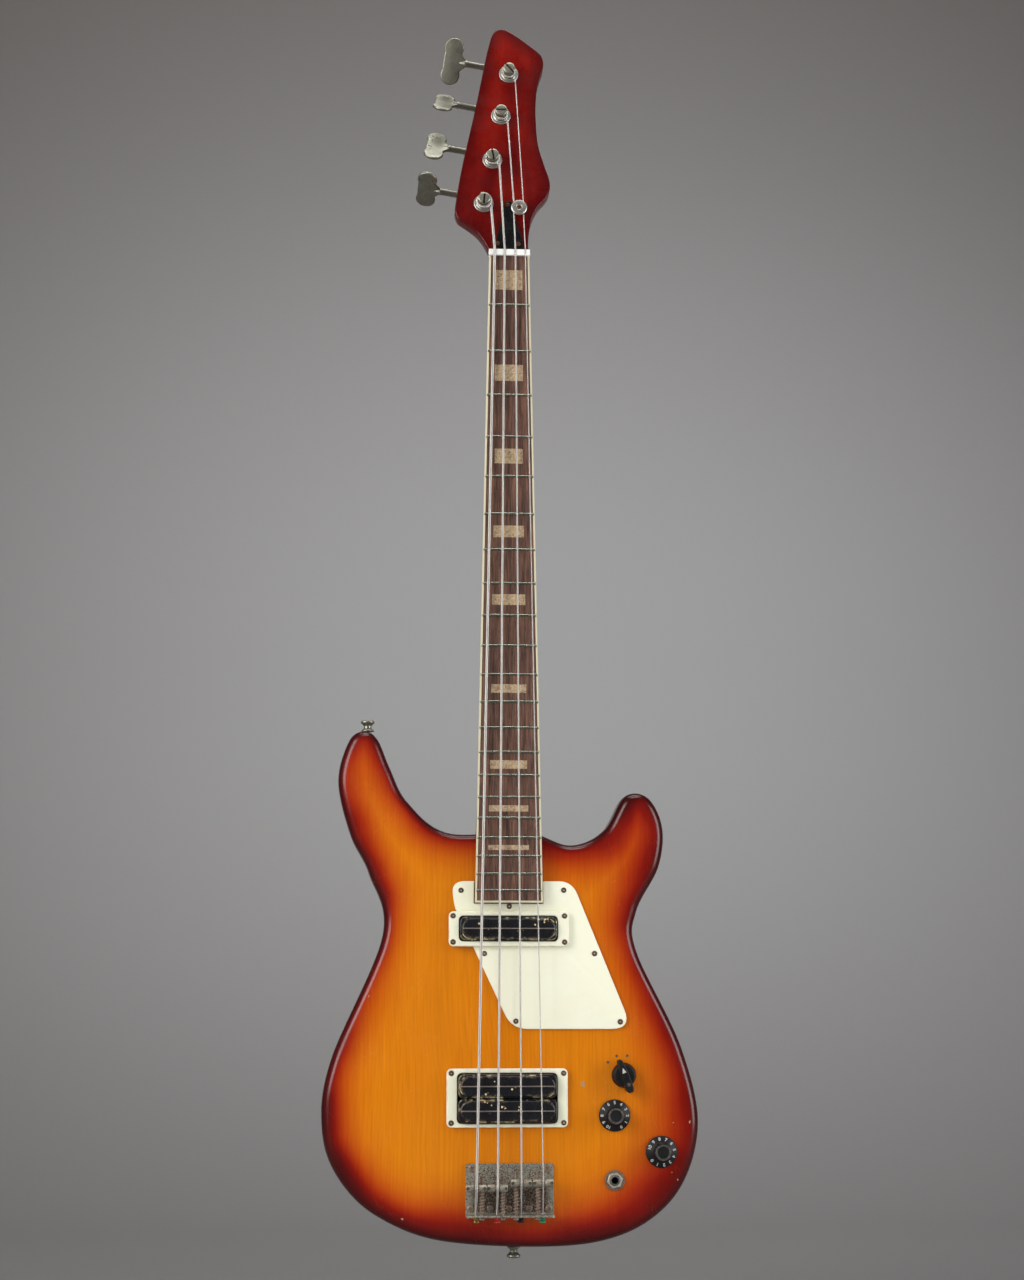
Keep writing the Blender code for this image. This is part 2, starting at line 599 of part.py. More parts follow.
def build_tuner(name):
    place = tuner_place(name)
    back = -HEAD_THICKNESS - SEAT
    bore = POST_RADIUS + SEAT
    sleeve = [
        (FERRULE_RADIUS - 0.6 * MM, 1.2 * MM + SEAT), (FERRULE_RADIUS, SEAT), (FERRULE_SLEEVE, SEAT),
        (FERRULE_SLEEVE, -9 * MM), (bore, -9 * MM), (bore, 2.3 * MM), (FERRULE_SLEEVE, 2.3 * MM),
        (FERRULE_SLEEVE + 0.2 * MM, 1.6 * MM),
    ]
    shade(turned(f"tuner_ferrule_{name}", sleeve, 14, "nickel", place, closed=True))

    gear_low = -GEAR_PLANE - GEAR_THICKNESS / 2
    gear_high = -GEAR_PLANE + GEAR_THICKNESS / 2
    profile = [
        (0, POST_HEIGHT), (POST_RIM - 0.6 * MM, POST_HEIGHT), (POST_RIM, POST_HEIGHT - 0.6 * MM),
        (POST_RIM, POST_HEIGHT - 1.9 * MM), (POST_RADIUS, POST_HEIGHT - 2.5 * MM),
        (POST_RADIUS, gear_low - 1 * MM), (0, gear_low - 1 * MM),
    ]
    post = turned(f"tuner_post_{name}", profile, 12, "nickel", place)
    wheel = loft(f"gear_{name}", [gear_loop(-GEAR_THICKNESS / 2), gear_loop(GEAR_THICKNESS / 2)], None, place)
    join(post, wheel)
    slot_turn = Matrix.Rotation(TUNER_LEAN + math.radians(SLOT_ANGLES[name]), 4, "Z")
    low = (-POST_RIM - PAST, -0.9 * MM, POST_HEIGHT - 2.4 * MM)
    high = (POST_RIM + PAST, 0.9 * MM, POST_HEIGHT + PAST)
    cut(post, box(f"post_slot_{name}", low, high, None, place @ slot_turn))
    shade(post)

    base = plate(
        f"tuner_plate_{name}", [rounded_rectangle(-13 * MM, 13 * MM, -9.5 * MM, 22 * MM, 3 * MM, 1)],
        back - TUNER_PLATE, back, "nickel", place,
    )
    ear_top = -GEAR_PLANE - WORM_RADIUS
    for side in (-1, 1):
        near, far = sorted((side * EAR_GAP, side * (EAR_GAP + EAR_THICKNESS)))
        low = (near, CENTRE_DISTANCE - 4.5 * MM, ear_top)
        high = (far, CENTRE_DISTANCE + 4.5 * MM, back - TUNER_PLATE / 2)
        join(base, box(f"ear_{name}_{side}", low, high, None, place))
    key_place = at(place, 0, CENTRE_DISTANCE, -GEAR_PLANE)
    outwards = key_place @ Matrix.Rotation(math.radians(-90), 4, "Y")
    low, high = back - TUNER_PLATE - PAST, back + PAST
    cut(base, rod(f"post_bore_{name}", POST_RADIUS + SEAT, low, high, 12, None, place))
    ear_out = EAR_GAP + EAR_THICKNESS
    reach = ear_out + PAST
    cut(base, rod(f"key_bore_{name}", JOURNAL_RADIUS + SEAT, -reach, reach, 8, None, outwards))
    shade(base)

    shaft = [
        (0, KEY_LENGTH - 7 * MM), (1.6 * MM, KEY_LENGTH - 7 * MM), (KEY_RADIUS, KEY_LENGTH - 14 * MM),
        (KEY_RADIUS, ear_out + SEAT), (JOURNAL_RADIUS, ear_out + SEAT), (JOURNAL_RADIUS, EAR_GAP - SEAT),
        (WORM_CORE, EAR_GAP - SEAT), (WORM_CORE, -EAR_GAP + SEAT), (JOURNAL_RADIUS, -EAR_GAP + SEAT),
        (JOURNAL_RADIUS, -ear_out - 0.4 * MM), (0, -ear_out - 0.4 * MM),
    ]
    key = turned(f"tuner_key_{name}", shaft, 8, "nickel", outwards)
    ridge = []
    for step in range(round(WORM_TURNS * 8) + 1):
        turn = math.pi + 2 * math.pi * (step / 8 - WORM_TURNS / 2)
        along = PITCH * (turn - math.pi) / (2 * math.pi)
        ridge.append((along, WORM_RADIUS * math.cos(turn), WORM_RADIUS * math.sin(turn)))
    join(key, tube(f"worm_ridge_{name}", ridge, WORM_RIDGE, None, key_place, resolution=0))
    turn_button = Matrix.Rotation(math.radians(BUTTON_ANGLES[name]), 4, "X")
    half = BUTTON_THICKNESS / 2
    flat = key_place @ turn_button
    join(key, plate(f"button_{name}", [button_loop()], -half, half, None, flat, 0.9 * MM, 0))
    shade(key)


def button_loop():
    """Two round lobes on a waisted neck, outwards along -x."""
    notch = [(KEY_LENGTH + BUTTON_LOBE - BUTTON_NOTCH, 0)]
    upper = []
    for degrees in range(-30, 211, 40):
        angle = math.radians(degrees)
        across = BUTTON_SPREAD + BUTTON_LOBE * math.sin(angle)
        upper.append((KEY_LENGTH + BUTTON_LOBE * math.cos(angle), across))
    neck = [(KEY_LENGTH - 10.4 * MM, 6.2 * MM), (KEY_LENGTH - 14.0 * MM, 3.3 * MM)]
    half = notch + upper + neck
    lower = [(u, -w) for u, w in reversed(half[1:])]
    return [(-u, w) for u, w in half + lower]


def winding(name):
    """The string's path: ball end, wall, saddle, nut, tree and the turns on its post."""
    string = STRINGS[name]
    radius = string["gauge"] * MM / 2
    nut, saddle, along = string["nut"] * MM, string["saddle"] * MM, -SCALE_LENGTH - string["behind"] * MM
    wall_hole = FACE_DEPTH - HOLE_HEIGHT
    over_saddle = -ACTION_SADDLE - radius
    over_nut = -ACTION_NUT - radius
    wall = -SCALE_LENGTH - BRIDGE_BEHIND
    rear = wall - SEAT
    through = [rear - BALL_LENGTH, rear - BALL_LENGTH + 0.5 * MM, rear - 0.5 * MM, rear, rear + 0.1 * MM]
    points = [(saddle, wall_hole, height) for height in through + [wall + BRIDGE_SHEET]]
    points += [
        (saddle, over_saddle + 0.75 * MM, along - 2.4 * MM), (saddle, over_saddle + 0.15 * MM, along - 1 * MM),
        (saddle, over_saddle, along), (nut, over_nut, SEAT), (nut, over_nut, SEAT + NUT_THICKNESS),
    ]
    ball = BALL_RADIUS / radius
    widths = [ball * 0.75, ball, ball, ball * 0.75] + [1.0] * (len(points) - 4)
    if name in TREE_STRINGS:
        tree_x, tree_y = TREE_STRINGS[name], TREE_AT[1]
        for step in (-0.8 * TREE_RADIUS, 0.8 * TREE_RADIUS):
            points.append(HEAD @ Vector((tree_x, tree_y + step, TREE_STRING_HEIGHT)))
            widths.append(1.0)
    x, y = (value * MM for value in string["post"])
    reach = POST_RADIUS + SEAT + radius
    come = HEAD.inverted() @ Vector(points[-1])
    away = Vector((come.x - x, come.y - y))
    tangent = math.atan2(away.y, away.x) + math.acos(reach / away.length)
    rise = string["gauge"] * MM + WINDING_GAP
    low = 2.4 * MM + SEAT + radius + 0.1 * MM
    turns = []
    steps = round(string["turns"] * HELIX_STEPS)
    for step in range(steps + 1):
        angle = tangent + 2 * math.pi * step / HELIX_STEPS
        height = low + rise * step / HELIX_STEPS
        turns.append(Vector((x + reach * math.cos(angle), y + reach * math.sin(angle), height)))
    turns.append(turns[-1] + (turns[-1] - turns[-2]).normalized() * 2 * radius)
    gap = least_gap(turns, radius)
    print(f"string_{name}: least gap between turns {gap / MM:.2f} mm")
    points += [HEAD @ turn for turn in turns]
    widths += [1.0] * len(turns)
    return points, radius, widths


def least_gap(points, radius):
    """The least free space between stretches of a wire more than half a turn apart."""
    points = np.array([tuple(point) for point in points])
    apart = np.linalg.norm(points[:, None] - points[None], axis=2)
    along = np.concatenate([[0], np.cumsum(np.linalg.norm(np.diff(points, axis=0), axis=1))])
    far = np.abs(along[:, None] - along[None]) > 8 * radius
    return apart[far].min() - 2 * radius if far.any() else float("inf")


def build_strings():
    for name in STRINGS:
        points, radius, widths = winding(name)
        shade(tube(f"string_{name}", points, radius, "steel", resolution=1, widths=widths))


def build_guard_and_pickups():
    wide, narrow, far_narrow, far_wide = heel_slot(BOARD_END - 2 * SEAT, GUARD_TOP, 2 * SEAT)
    outline = eased_corners(GUARD_CORNERS, 3) + [narrow, wide, far_wide, far_narrow]
    guard_high = SEAT + GUARD_THICKNESS
    hole = rounded_rectangle(*NECK_PICKUP_HOLE, 3 * MM, 2)
    plate("pickguard", [outline, hole], SEAT, guard_high, "cream", FACE)
    rims = {
        "neck_pickup_surround": ((-55.3, 55.7, -658.0, -625.8), (-45.8, 45.3, -653.3, -630.0)),
        "bridge_pickup_surround": ((-56.6, 54.2, -821.2, -768.3), (-46.8, 44.7, -817.8, -772.5)),
    }
    for name, (outer, inner) in rims.items():
        low = guard_high + SEAT if name == "neck_pickup_surround" else SEAT
        outer = [value * MM for value in outer]
        inner = [value * MM for value in inner]
        loops = [rounded_rectangle(*outer, 4.5 * MM, 3), rounded_rectangle(*inner, 4 * MM, 3)]
        plate(name, loops, low, low + SURROUND_THICKNESS, "cream", FACE)
    floor = -PICKUP_CAVITY + SEAT
    coils = {
        "neck_pickup": ((-45.0, 44.5, -652.5, -630.8), 12.0),
        "bridge_pickup_upper_coil": ((-46.0, 43.9, -794.9, -773.3), 12.6),
        "bridge_pickup_lower_coil": ((-46.0, 43.9, -817.0, -795.3), 12.6),
    }
    for name, (box_mm, high) in coils.items():
        left, right, bottom, top = (value * MM for value in box_mm)
        high *= MM
        rim = 1.6 * MM
        outer = rounded_rectangle(left, right, bottom, top, 4.5 * MM, 3)
        coil = plate(name, [outer], floor, high - 2.6 * MM, "black", FACE, 0.8 * MM, 0)
        inner = rounded_rectangle(left + rim, right - rim, bottom + rim, top - rim, 8.5 * MM, 4)
        join(coil, plate(name + "_crown", [inner], high - 8 * MM, high, None, FACE, 0.8 * MM, 0))
        middle = (bottom + top) / 2
        blade_low = (left + 2.6 * MM, middle - 0.9 * MM, high - 4 * MM)
        blade_high = (right - 2.6 * MM, middle + 0.9 * MM, high + 0.8 * MM)
        join(coil, box(name + "_blade", blade_low, blade_high, None, FACE))
        shade(coil)


def build_bridge():
    """A bent sheet with a rear wall, four barrel saddles, their screws and springs."""
    sheet_low = SEAT
    loop = rounded_rectangle(BRIDGE_LEFT, BRIDGE_RIGHT, BRIDGE_REAR, BRIDGE_FRONT, 3 * MM, 2)
    base = plate("bridge_plate", [loop], sheet_low, sheet_low + BRIDGE_SHEET, "nickel", FACE)
    wall_loop = rounded_rectangle(BRIDGE_LEFT, BRIDGE_RIGHT, sheet_low - 4 * MM, BRIDGE_WALL, 3 * MM, 2)
    upright = FACE @ Matrix.Rotation(math.radians(90), 4, "X")
    wall = plate("bridge_wall", [wall_loop], -BRIDGE_REAR - BRIDGE_SHEET, -BRIDGE_REAR, None, upright)
    under_low = (BRIDGE_LEFT - PAST, BRIDGE_REAR - PAST, sheet_low - 8 * MM)
    under_high = (BRIDGE_RIGHT + PAST, BRIDGE_FRONT, sheet_low)
    cut(wall, box("under_wall", under_low, under_high, None, FACE))
    join(base, wall)
    barrel_height = FACE_DEPTH + ACTION_SADDLE - SADDLE_RADIUS - SEAT + SADDLE_GROOVE
    for name, string in STRINGS.items():
        side = 1 if name in "ea" else -1
        x, y = string["saddle"] * MM, -BODY_DATUM - string["behind"] * MM
        screw_x = x + side * SCREW_OFFSET
        screw_place = at(FACE, screw_x, 0, barrel_height) @ Matrix.Rotation(math.radians(-90), 4, "X")
        string_hole = string["gauge"] * MM / 2 + 0.8 * MM
        hole_place = at(FACE, x, BRIDGE_REAR, HOLE_HEIGHT) @ Matrix.Rotation(math.radians(-90), 4, "X")
        cut(base, rod(f"string_hole_{name}", string_hole, -PAST, BRIDGE_SHEET + PAST, 8, None, hole_place))
        low, high = BRIDGE_REAR - PAST, BRIDGE_REAR + BRIDGE_SHEET + PAST
        cut(base, rod(f"screw_hole_{name}", SCREW_RADIUS + SEAT, low, high, 8, None, screw_place))
        build_saddle(name, x, y, side, barrel_height, sheet_low + BRIDGE_SHEET)
        tip = y + SADDLE_RADIUS + SADDLE_TRAVEL + 1.5 * MM
        head_top = BRIDGE_REAR - SEAT
        screw = [
            (0, tip), (SCREW_RADIUS, tip - 0.8 * MM), (SCREW_RADIUS, head_top), (2.7 * MM, head_top),
            (2.7 * MM, head_top - 1.3 * MM), (2.0 * MM, head_top - 1.9 * MM), (0, head_top - 1.9 * MM),
        ]
        screw = turned(f"intonation_screw_{name}", screw, 8, "rusty_steel", screw_place)
        low, high = (-0.4 * MM, -4 * MM, head_top - 3 * MM), (0.4 * MM, 4 * MM, head_top - 1.1 * MM)
        cut(screw, box(f"screw_slot_{name}", low, high, None, screw_place))
        shade(screw)
        build_spring(name, screw_place, BRIDGE_REAR + BRIDGE_SHEET + SEAT, y - SADDLE_RADIUS - SEAT)
    shade(base)


def build_saddle(name, x, y, side, height, floor):
    """A barrel across the strings, waisted under its own, on two height screws."""
    half = SADDLE_WIDTH / 2
    groove = SADDLE_RADIUS - SADDLE_GROOVE
    profile = [
        (0, half), (SADDLE_RADIUS - 0.5 * MM, half), (SADDLE_RADIUS, half - 0.5 * MM),
        (SADDLE_RADIUS, 2.6 * MM), (groove, 1.5 * MM), (groove, -1.5 * MM), (SADDLE_RADIUS, -2.6 * MM),
        (SADDLE_RADIUS, -half + 0.5 * MM), (SADDLE_RADIUS - 0.5 * MM, -half), (0, -half),
    ]
    place = at(FACE, x, y, height)
    saddle = turned(f"saddle_{name}", profile, 10, "nickel", place @ Matrix.Rotation(math.radians(90), 4, "Y"))
    for offset in (-HEIGHT_SCREW_OFFSET, HEIGHT_SCREW_OFFSET):
        leg_place = at(FACE, x + offset, y)
        leg_name = f"height_screw_{name}_{offset > 0}"
        join(saddle, rod(leg_name, HEIGHT_SCREW_RADIUS, floor + SEAT, height, 6, None, leg_place))
    bore_place = at(place, side * SCREW_OFFSET, 0) @ Matrix.Rotation(math.radians(-90), 4, "X")
    reach = SADDLE_RADIUS + PAST
    cut(saddle, rod(f"saddle_bore_{name}", SCREW_RADIUS + SEAT, -reach, reach, 8, None, bore_place))
    shade(saddle)


def build_spring(name, place, low, high):
    """A compression spring round the screw, its ends running straight along it."""
    wire = 2 * SPRING_WIRE
    low, high = low + SPRING_WIRE, high - SPRING_WIRE
    curls = CURLS[name]
    points = []
    for step in range(curls * CURL_STEPS + 1):
        angle = 2 * math.pi * step / CURL_STEPS
        height = low + wire + (high - low - 2 * wire) * step / (curls * CURL_STEPS)
        points.append((SPRING_RADIUS * math.cos(angle), SPRING_RADIUS * math.sin(angle), height))
    start, end = points[0], points[-1]
    points = [(start[0], start[1], low - SPRING_WIRE)] + points + [(end[0], end[1], high + SPRING_WIRE)]
    gap = least_gap(points, SPRING_WIRE)
    print(f"spring_{name}: least gap between curls {gap / MM:.2f} mm")
    shade(tube(f"spring_{name}", points, SPRING_WIRE, "rusty_steel", place))


def build_controls():
    """Knobs on their shafts, with the pots, the switch and the socket below the face."""
    for name, (x, y) in (("volume", VOLUME_AT), ("tone", TONE_AT)):
        place = at(FACE, x * MM, y * MM)
        build_knob(name + "_knob", place)
        build_pot(name + "_pot", place, 11.5 * MM, 9 * MM)
    place = at(FACE, SWITCH_AT[0] * MM, SWITCH_AT[1] * MM)
    build_switch_knob(place)
    build_pot("rotary_switch", place, 13 * MM, 13 * MM)
    build_jack()


def build_pot(name, place, radius, depth):
    """A tin can below the cavity's roof, and a bush up through it."""
    roof = -CAVITY_ROOF - SEAT
    bore = SHAFT_RADIUS + SEAT
    profile = [
        (BUSH_RADIUS, -SEAT), (BUSH_RADIUS, roof), (radius - 0.8 * MM, roof), (radius, roof - 0.8 * MM),
        (radius, roof - depth), (bore, roof - depth), (bore, -SEAT),
    ]
    shade(turned(name, profile, 10, "tin", place, closed=True))


def knob_ring(radius, height, rib, count=24):
    """A ring with ribs round it for the fingers."""
    ring = []
    for step in range(count):
        angle = 2 * math.pi * step / count
        around = radius - rib * (step % 2)
        ring.append((around * math.cos(angle), around * math.sin(angle), height))
    return ring


def build_knob(name, place):
    profile = [
        (14.4, 0.8, 0), (14.4, 2.0, 0), (13.6, 2.8, 0), (9.4, 4.8, 0), (7.7, 8.0, 0.45), (7.3, 14.8, 0.45),
        (6.2, 15.6, 0),
    ]
    rings = [knob_ring(radius * MM, height * MM, rib * MM) for radius, height, rib in profile]
    knob = loft(name, rings, "black", place)
    join(knob, rod(name + "_shaft", SHAFT_RADIUS, -CAVITY_ROOF - 6 * MM, 3 * MM, 12, None, place))
    shade(knob)


def build_switch_knob(place):
    turned_place = place @ Matrix.Rotation(SWITCH_REST, 4, "Z")
    profile = [(0, 8.5), (9.2, 8.5), (11.3, 1.8), (11.3, 0.8), (0, 0.8)]
    knob = turned("switch_knob", [(r * MM, h * MM) for r, h in profile], 20, "black", turned_place)
    pointer = [
        (-3.4, -13.5), (-2.2, -16.0), (2.2, -16.0), (3.4, -13.5), (3.6, 2.0), (1.0, 14.6), (0, 15.2),
        (-1.0, 14.6), (-3.6, 2.0),
    ]
    pointer = [(x * MM, y * MM) for x, y in pointer]
    join(knob, plate("switch_pointer", [pointer], 1.4 * MM, 15.5 * MM, None, turned_place, 0.7 * MM, 0))
    join(knob, rod("switch_shaft", SHAFT_RADIUS, -CAVITY_ROOF - 8 * MM, 3 * MM, 12, None, turned_place))
    shade(knob)


def ring_of(radius, count, first=0.0):
    """Points round a circle, from an angle in degrees."""
    angles = [math.radians(first + 360 * k / count) for k in range(count)]
    return [(radius * math.cos(angle), radius * math.sin(angle)) for angle in angles]


def build_jack():
    """The socket's sleeve through the face, its frame and contact behind, and the nut in front."""
    place = at(FACE, JACK_AT[0] * MM, JACK_AT[1] * MM)
    washer, nut_high = 1.0 * MM, 3.6 * MM
    roof = -CAVITY_ROOF - SEAT
    profile = [
        (SOCKET_SLEEVE - 0.4 * MM, nut_high), (SOCKET_SLEEVE, nut_high - 0.4 * MM), (SOCKET_SLEEVE, roof),
        (7.2 * MM, roof), (7.2 * MM, roof - 1.6 * MM), (SOCKET_BORE, roof - 1.6 * MM), (SOCKET_BORE, nut_high),
    ]
    socket = turned("jack_socket", profile, 16, "tin", place, closed=True)
    frame_low = roof - 24 * MM
    arm = box("socket_arm", (4.2 * MM, -3 * MM, frame_low), (5.4 * MM, 3 * MM, roof - 0.8 * MM), None, place)
    low, high = (-5.4 * MM, -2 * MM, frame_low + 2 * MM), (-4.6 * MM, 2 * MM, roof - 0.8 * MM)
    blade = box("contact_blade", low, high, None, place)
    join(socket, arm, blade)
    shade(socket)
    hexagon = ring_of(JACK_NUT_ACROSS / math.sqrt(3), 6, 12)
    bore = ring_of(SOCKET_SLEEVE + SEAT, 12)
    nut = plate("jack_nut", [ring_of(9.2 * MM, 18), bore], SEAT, SEAT + washer, "nickel", place)
    join(nut, plate("jack_hexagon", [hexagon, bore], washer - 0.2 * MM, nut_high - 0.4 * MM, None, place))


def build_straps_and_plate():
    profile = [
        (0, 10.5), (4.6, 10.5), (6.3, 9.6), (6.3, 8.0), (3.5, 5.4), (3.5, 3.0), (6.0, 1.0), (6.0, 0.0),
        (0, 0.0),
    ]
    profile = [(radius * MM, height * MM) for radius, height in profile]
    middle = FACE_DEPTH + BODY_THICKNESS / 2
    rim = smooth_loop(BODY_POINTS, 8)
    tip = max(rim, key=lambda point: point[1])
    end = min(y for x, y in rim if abs(x - STRAP_TAIL_X) < 12 * MM)
    horn = Matrix.Translation((tip[0], middle, tip[1] + SEAT - BODY_SHIFT))
    tail = Matrix.Translation((STRAP_TAIL_X, middle, end - SEAT - BODY_SHIFT))
    tail = tail @ Matrix.Rotation(math.pi, 4, "X")
    shade(turned("strap_button_horn", profile, 16, "nickel", horn))
    shade(turned("strap_button_tail", profile, 16, "nickel", tail))

    back = -BODY_THICKNESS - SEAT
    left, right, bottom, top = -31 * MM, 31 * MM, -612 * MM, -562 * MM
    loop = rounded_rectangle(left, right, bottom, top, 5 * MM, 3)
    neck_plate = plate("neck_plate", [loop], back - 2 * MM, back, "nickel", FACE)
    dome = [(0, 1.0), (4.6, 1.0), (4.6, -0.4), (2.6, -1.7), (0, -1.7)]
    dome = [(radius * MM, height * MM) for radius, height in dome]
    for number, (x, y) in enumerate(((left, bottom), (right, bottom), (left, top), (right, top))):
        x -= math.copysign(8 * MM, x)
        y += (8 if y == bottom else -8) * MM
        head = turned(f"neck_screw_{number}", dome, 8, None, at(FACE, x, y, back - 2 * MM))
        join(neck_plate, head)
    shade(neck_plate)


def main():
    clear_scene()
    for name in ("bass_guitar", "tools"):
        bpy.context.scene.collection.children.link(bpy.data.collections.new(name))
    frame = bpy.data.objects.new("guitar_frame", None)
    bpy.data.collections["bass_guitar"].objects.link(frame)
    build_body()
    build_neck()
    build_board()
    build_head_fittings()
    for name in STRINGS:
        build_tuner(name)
    build_strings()
    build_guard_and_pickups()
    build_bridge()
    build_controls()
    build_straps_and_plate()


main()
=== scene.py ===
# %% [markdown]
# # A four-string electric bass guitar
# This scene dresses a finished frame: the frame knows where every part is and how it moves, and
# each step below gives one part its real surface and finish. Shapes are worked out with numpy as
# whole arrays of points, and every finish is made from nodes.

# %% Load the fixed frame
import json
import math

import bmesh
import bpy
import numpy as np
from mathutils import Matrix, Vector
from mathutils.geometry import delaunay_2d_cdt

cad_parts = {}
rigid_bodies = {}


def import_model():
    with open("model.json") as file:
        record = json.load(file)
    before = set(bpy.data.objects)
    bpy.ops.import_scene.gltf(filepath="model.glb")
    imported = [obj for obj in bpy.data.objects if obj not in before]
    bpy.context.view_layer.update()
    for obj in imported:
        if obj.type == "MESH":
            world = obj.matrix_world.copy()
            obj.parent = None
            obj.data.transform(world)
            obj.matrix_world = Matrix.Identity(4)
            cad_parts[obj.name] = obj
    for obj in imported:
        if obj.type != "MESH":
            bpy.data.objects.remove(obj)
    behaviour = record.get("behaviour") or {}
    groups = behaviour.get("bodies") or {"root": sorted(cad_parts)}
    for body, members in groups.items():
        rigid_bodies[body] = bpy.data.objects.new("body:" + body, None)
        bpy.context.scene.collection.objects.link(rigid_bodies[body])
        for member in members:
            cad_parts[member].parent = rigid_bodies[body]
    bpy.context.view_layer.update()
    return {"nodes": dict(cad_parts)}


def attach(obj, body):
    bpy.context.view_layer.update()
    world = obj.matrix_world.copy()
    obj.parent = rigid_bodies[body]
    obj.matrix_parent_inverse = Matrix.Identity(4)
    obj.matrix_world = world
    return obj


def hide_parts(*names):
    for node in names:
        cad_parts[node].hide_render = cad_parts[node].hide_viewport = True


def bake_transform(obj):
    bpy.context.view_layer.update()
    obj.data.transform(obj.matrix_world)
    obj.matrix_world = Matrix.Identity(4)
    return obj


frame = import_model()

MM = 0.001

# %% [markdown]
# ## The camera
# The instrument hangs upright and was photographed from a little below its middle, looking
# slightly up, so its headstock leans away. The camera's axes are written as three turns and
# then read out as columns, because a Blender camera looks along its own -Z with Y up.

# %% Camera
def turn(axis, angle):
    """The 3x3 matrix of a turn about one axis."""
    return np.array(Matrix.Rotation(angle, 3, axis))


view_turn = turn("X", -0.1535) @ turn("Y", 0.0001) @ turn("Z", 0.0622)
right, forward, up = view_turn
camera_data = bpy.data.cameras.new("camera")
camera_data.lens = 63.0
camera_data.sensor_width = 36.0
camera = bpy.data.objects.new("camera", camera_data)
bpy.context.scene.collection.objects.link(camera)
camera.matrix_world = Matrix.Translation((-0.12627, -2.06927, -0.69442)) @ Matrix(
    np.stack([right, up, -forward], 1).tolist()
).to_4x4()
bpy.context.scene.camera = camera
print("camera looks along", np.round(forward, 3), "with a", camera_data.lens, "mm lens")

# %% [markdown]
# ## Points, faces and pieces
# A piece is made of closed shells. A shell is a dictionary with its points, its faces as
# integer arrays, and a number for the finish it takes. Keeping shells as plain arrays lets a
# shape be moved, repeated or bent before Blender sees it, which is quick even for a spring of many
# thin curls. At the end the arrays go into one mesh in a single step each.

# %% From arrays to a mesh
def shell(points, faces, paint=0, **marks):
    """Points (n, 3), a list of face index arrays, the finish number and any values per point."""
    return {
        "points": np.asarray(points, float).reshape(-1, 3), "faces": [np.asarray(f, int) for f in faces],
        "paint": paint, "marks": marks,
    }


def moved(made, place, paint=None):
    """The shell carried by a 4x4 matrix: each point p becomes R p + t."""
    matrix = np.array(place)
    points = made["points"] @ matrix[:3, :3].T + matrix[:3, 3]
    return {**made, "points": points, "paint": made["paint"] if paint is None else paint}


def mesh_from(name, shells):
    """One mesh from many shells, welded, with every face turned outwards."""
    mesh = bpy.data.meshes.new(name)
    starts = np.cumsum([0] + [len(made["points"]) for made in shells[:-1]])
    points = np.concatenate([made["points"] for made in shells])
    batches = [
        (faces + start, made["paint"])
        for made, start in zip(shells, starts)
        for faces in made["faces"]
        if len(faces)
    ]
    loops = np.concatenate([faces.ravel() for faces, _ in batches])
    counts = np.concatenate([np.full(len(faces), faces.shape[1]) for faces, _ in batches])
    paint = np.concatenate([np.full(len(faces), number) for faces, number in batches])
    mesh.vertices.add(len(points))
    mesh.vertices.foreach_set("co", points.astype(np.float32).ravel())
    mesh.loops.add(len(loops))
    mesh.loops.foreach_set("vertex_index", loops.astype(np.int32))
    mesh.polygons.add(len(counts))
    mesh.polygons.foreach_set("loop_start", np.concatenate([[0], np.cumsum(counts)[:-1]]).astype(np.int32))
    mesh.polygons.foreach_set("material_index", paint.astype(np.int32))
    mesh.update(calc_edges=True)
    mesh.validate()
    for mark in sorted({mark for made in shells for mark in made["marks"]}):
        values = [np.broadcast_to(made["marks"].get(mark, 0.0), len(made["points"])) for made in shells]
        mesh.attributes.new(mark, "FLOAT", "POINT").data.foreach_set(
            "value", np.concatenate(values).astype(np.float32),
        )
    made = bmesh.new()
    made.from_mesh(mesh)
    bmesh.ops.remove_doubles(made, verts=made.verts, dist=2e-7)
    bmesh.ops.recalc_face_normals(made, faces=made.faces)
    made.to_mesh(mesh)
    made.free()
    return mesh


FINISHED = []


def piece(name, shells, finishes, replaces=(), body="guitar", sharp=38):
    """A finished object on its body: shaded smooth, with edges sharper than the angle kept crisp."""
    mesh = mesh_from(name, shells)
    mesh.shade_smooth()
    mesh.set_sharp_from_angle(angle=math.radians(sharp))
    for finish in finishes:
        mesh.materials.append(finish)
    made = bpy.data.objects.new(name, mesh)
    bpy.context.scene.collection.objects.link(made)
    if body:
        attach(made, body)
    if replaces:
        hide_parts(*([replaces] if isinstance(replaces, str) else replaces))
    FINISHED.append(made)
    return made


# %% [markdown]
# ## Shapes as functions of two parameters
# Most parts of an instrument are one of four things: a flat plate with a rounded rim, a turned
# form, a tube along a path, or a skin over cross-sections. Each has one function here.

# %% Grids, turned forms and skins
def grid_faces(rows, columns, wrap_rows=False, wrap_columns=True):
    """Quads between neighbouring points of a rows x columns grid."""
    i, j = np.meshgrid(
        np.arange(rows if wrap_rows else rows - 1), np.arange(columns if wrap_columns else columns - 1),
        indexing="ij",
    )
    a, b = i * columns + j, i * columns + (j + 1) % columns
    c, d = ((i + 1) % rows) * columns + (j + 1) % columns, ((i + 1) % rows) * columns + j
    return np.stack([a, b, c, d], -1).reshape(-1, 4)


def turned(profile, steps=48, closed=False, wobble=None):
    """(radius, height) pairs turned about z: x = r cos a, y = r sin a, z = h. wobble(a, r, h) gives a new
    radius."""
    profile = np.asarray(profile, float)
    angle = np.linspace(0, 2 * np.pi, steps, endpoint=False)[None]
    radius, height = profile[:, :1] + 0 * angle, profile[:, 1:] + 0 * angle
    if wobble:
        radius = wobble(angle, radius, height)
    points = np.stack([radius * np.cos(angle), radius * np.sin(angle), height], -1)
    return shell(points, [grid_faces(len(profile), steps, wrap_rows=closed)])


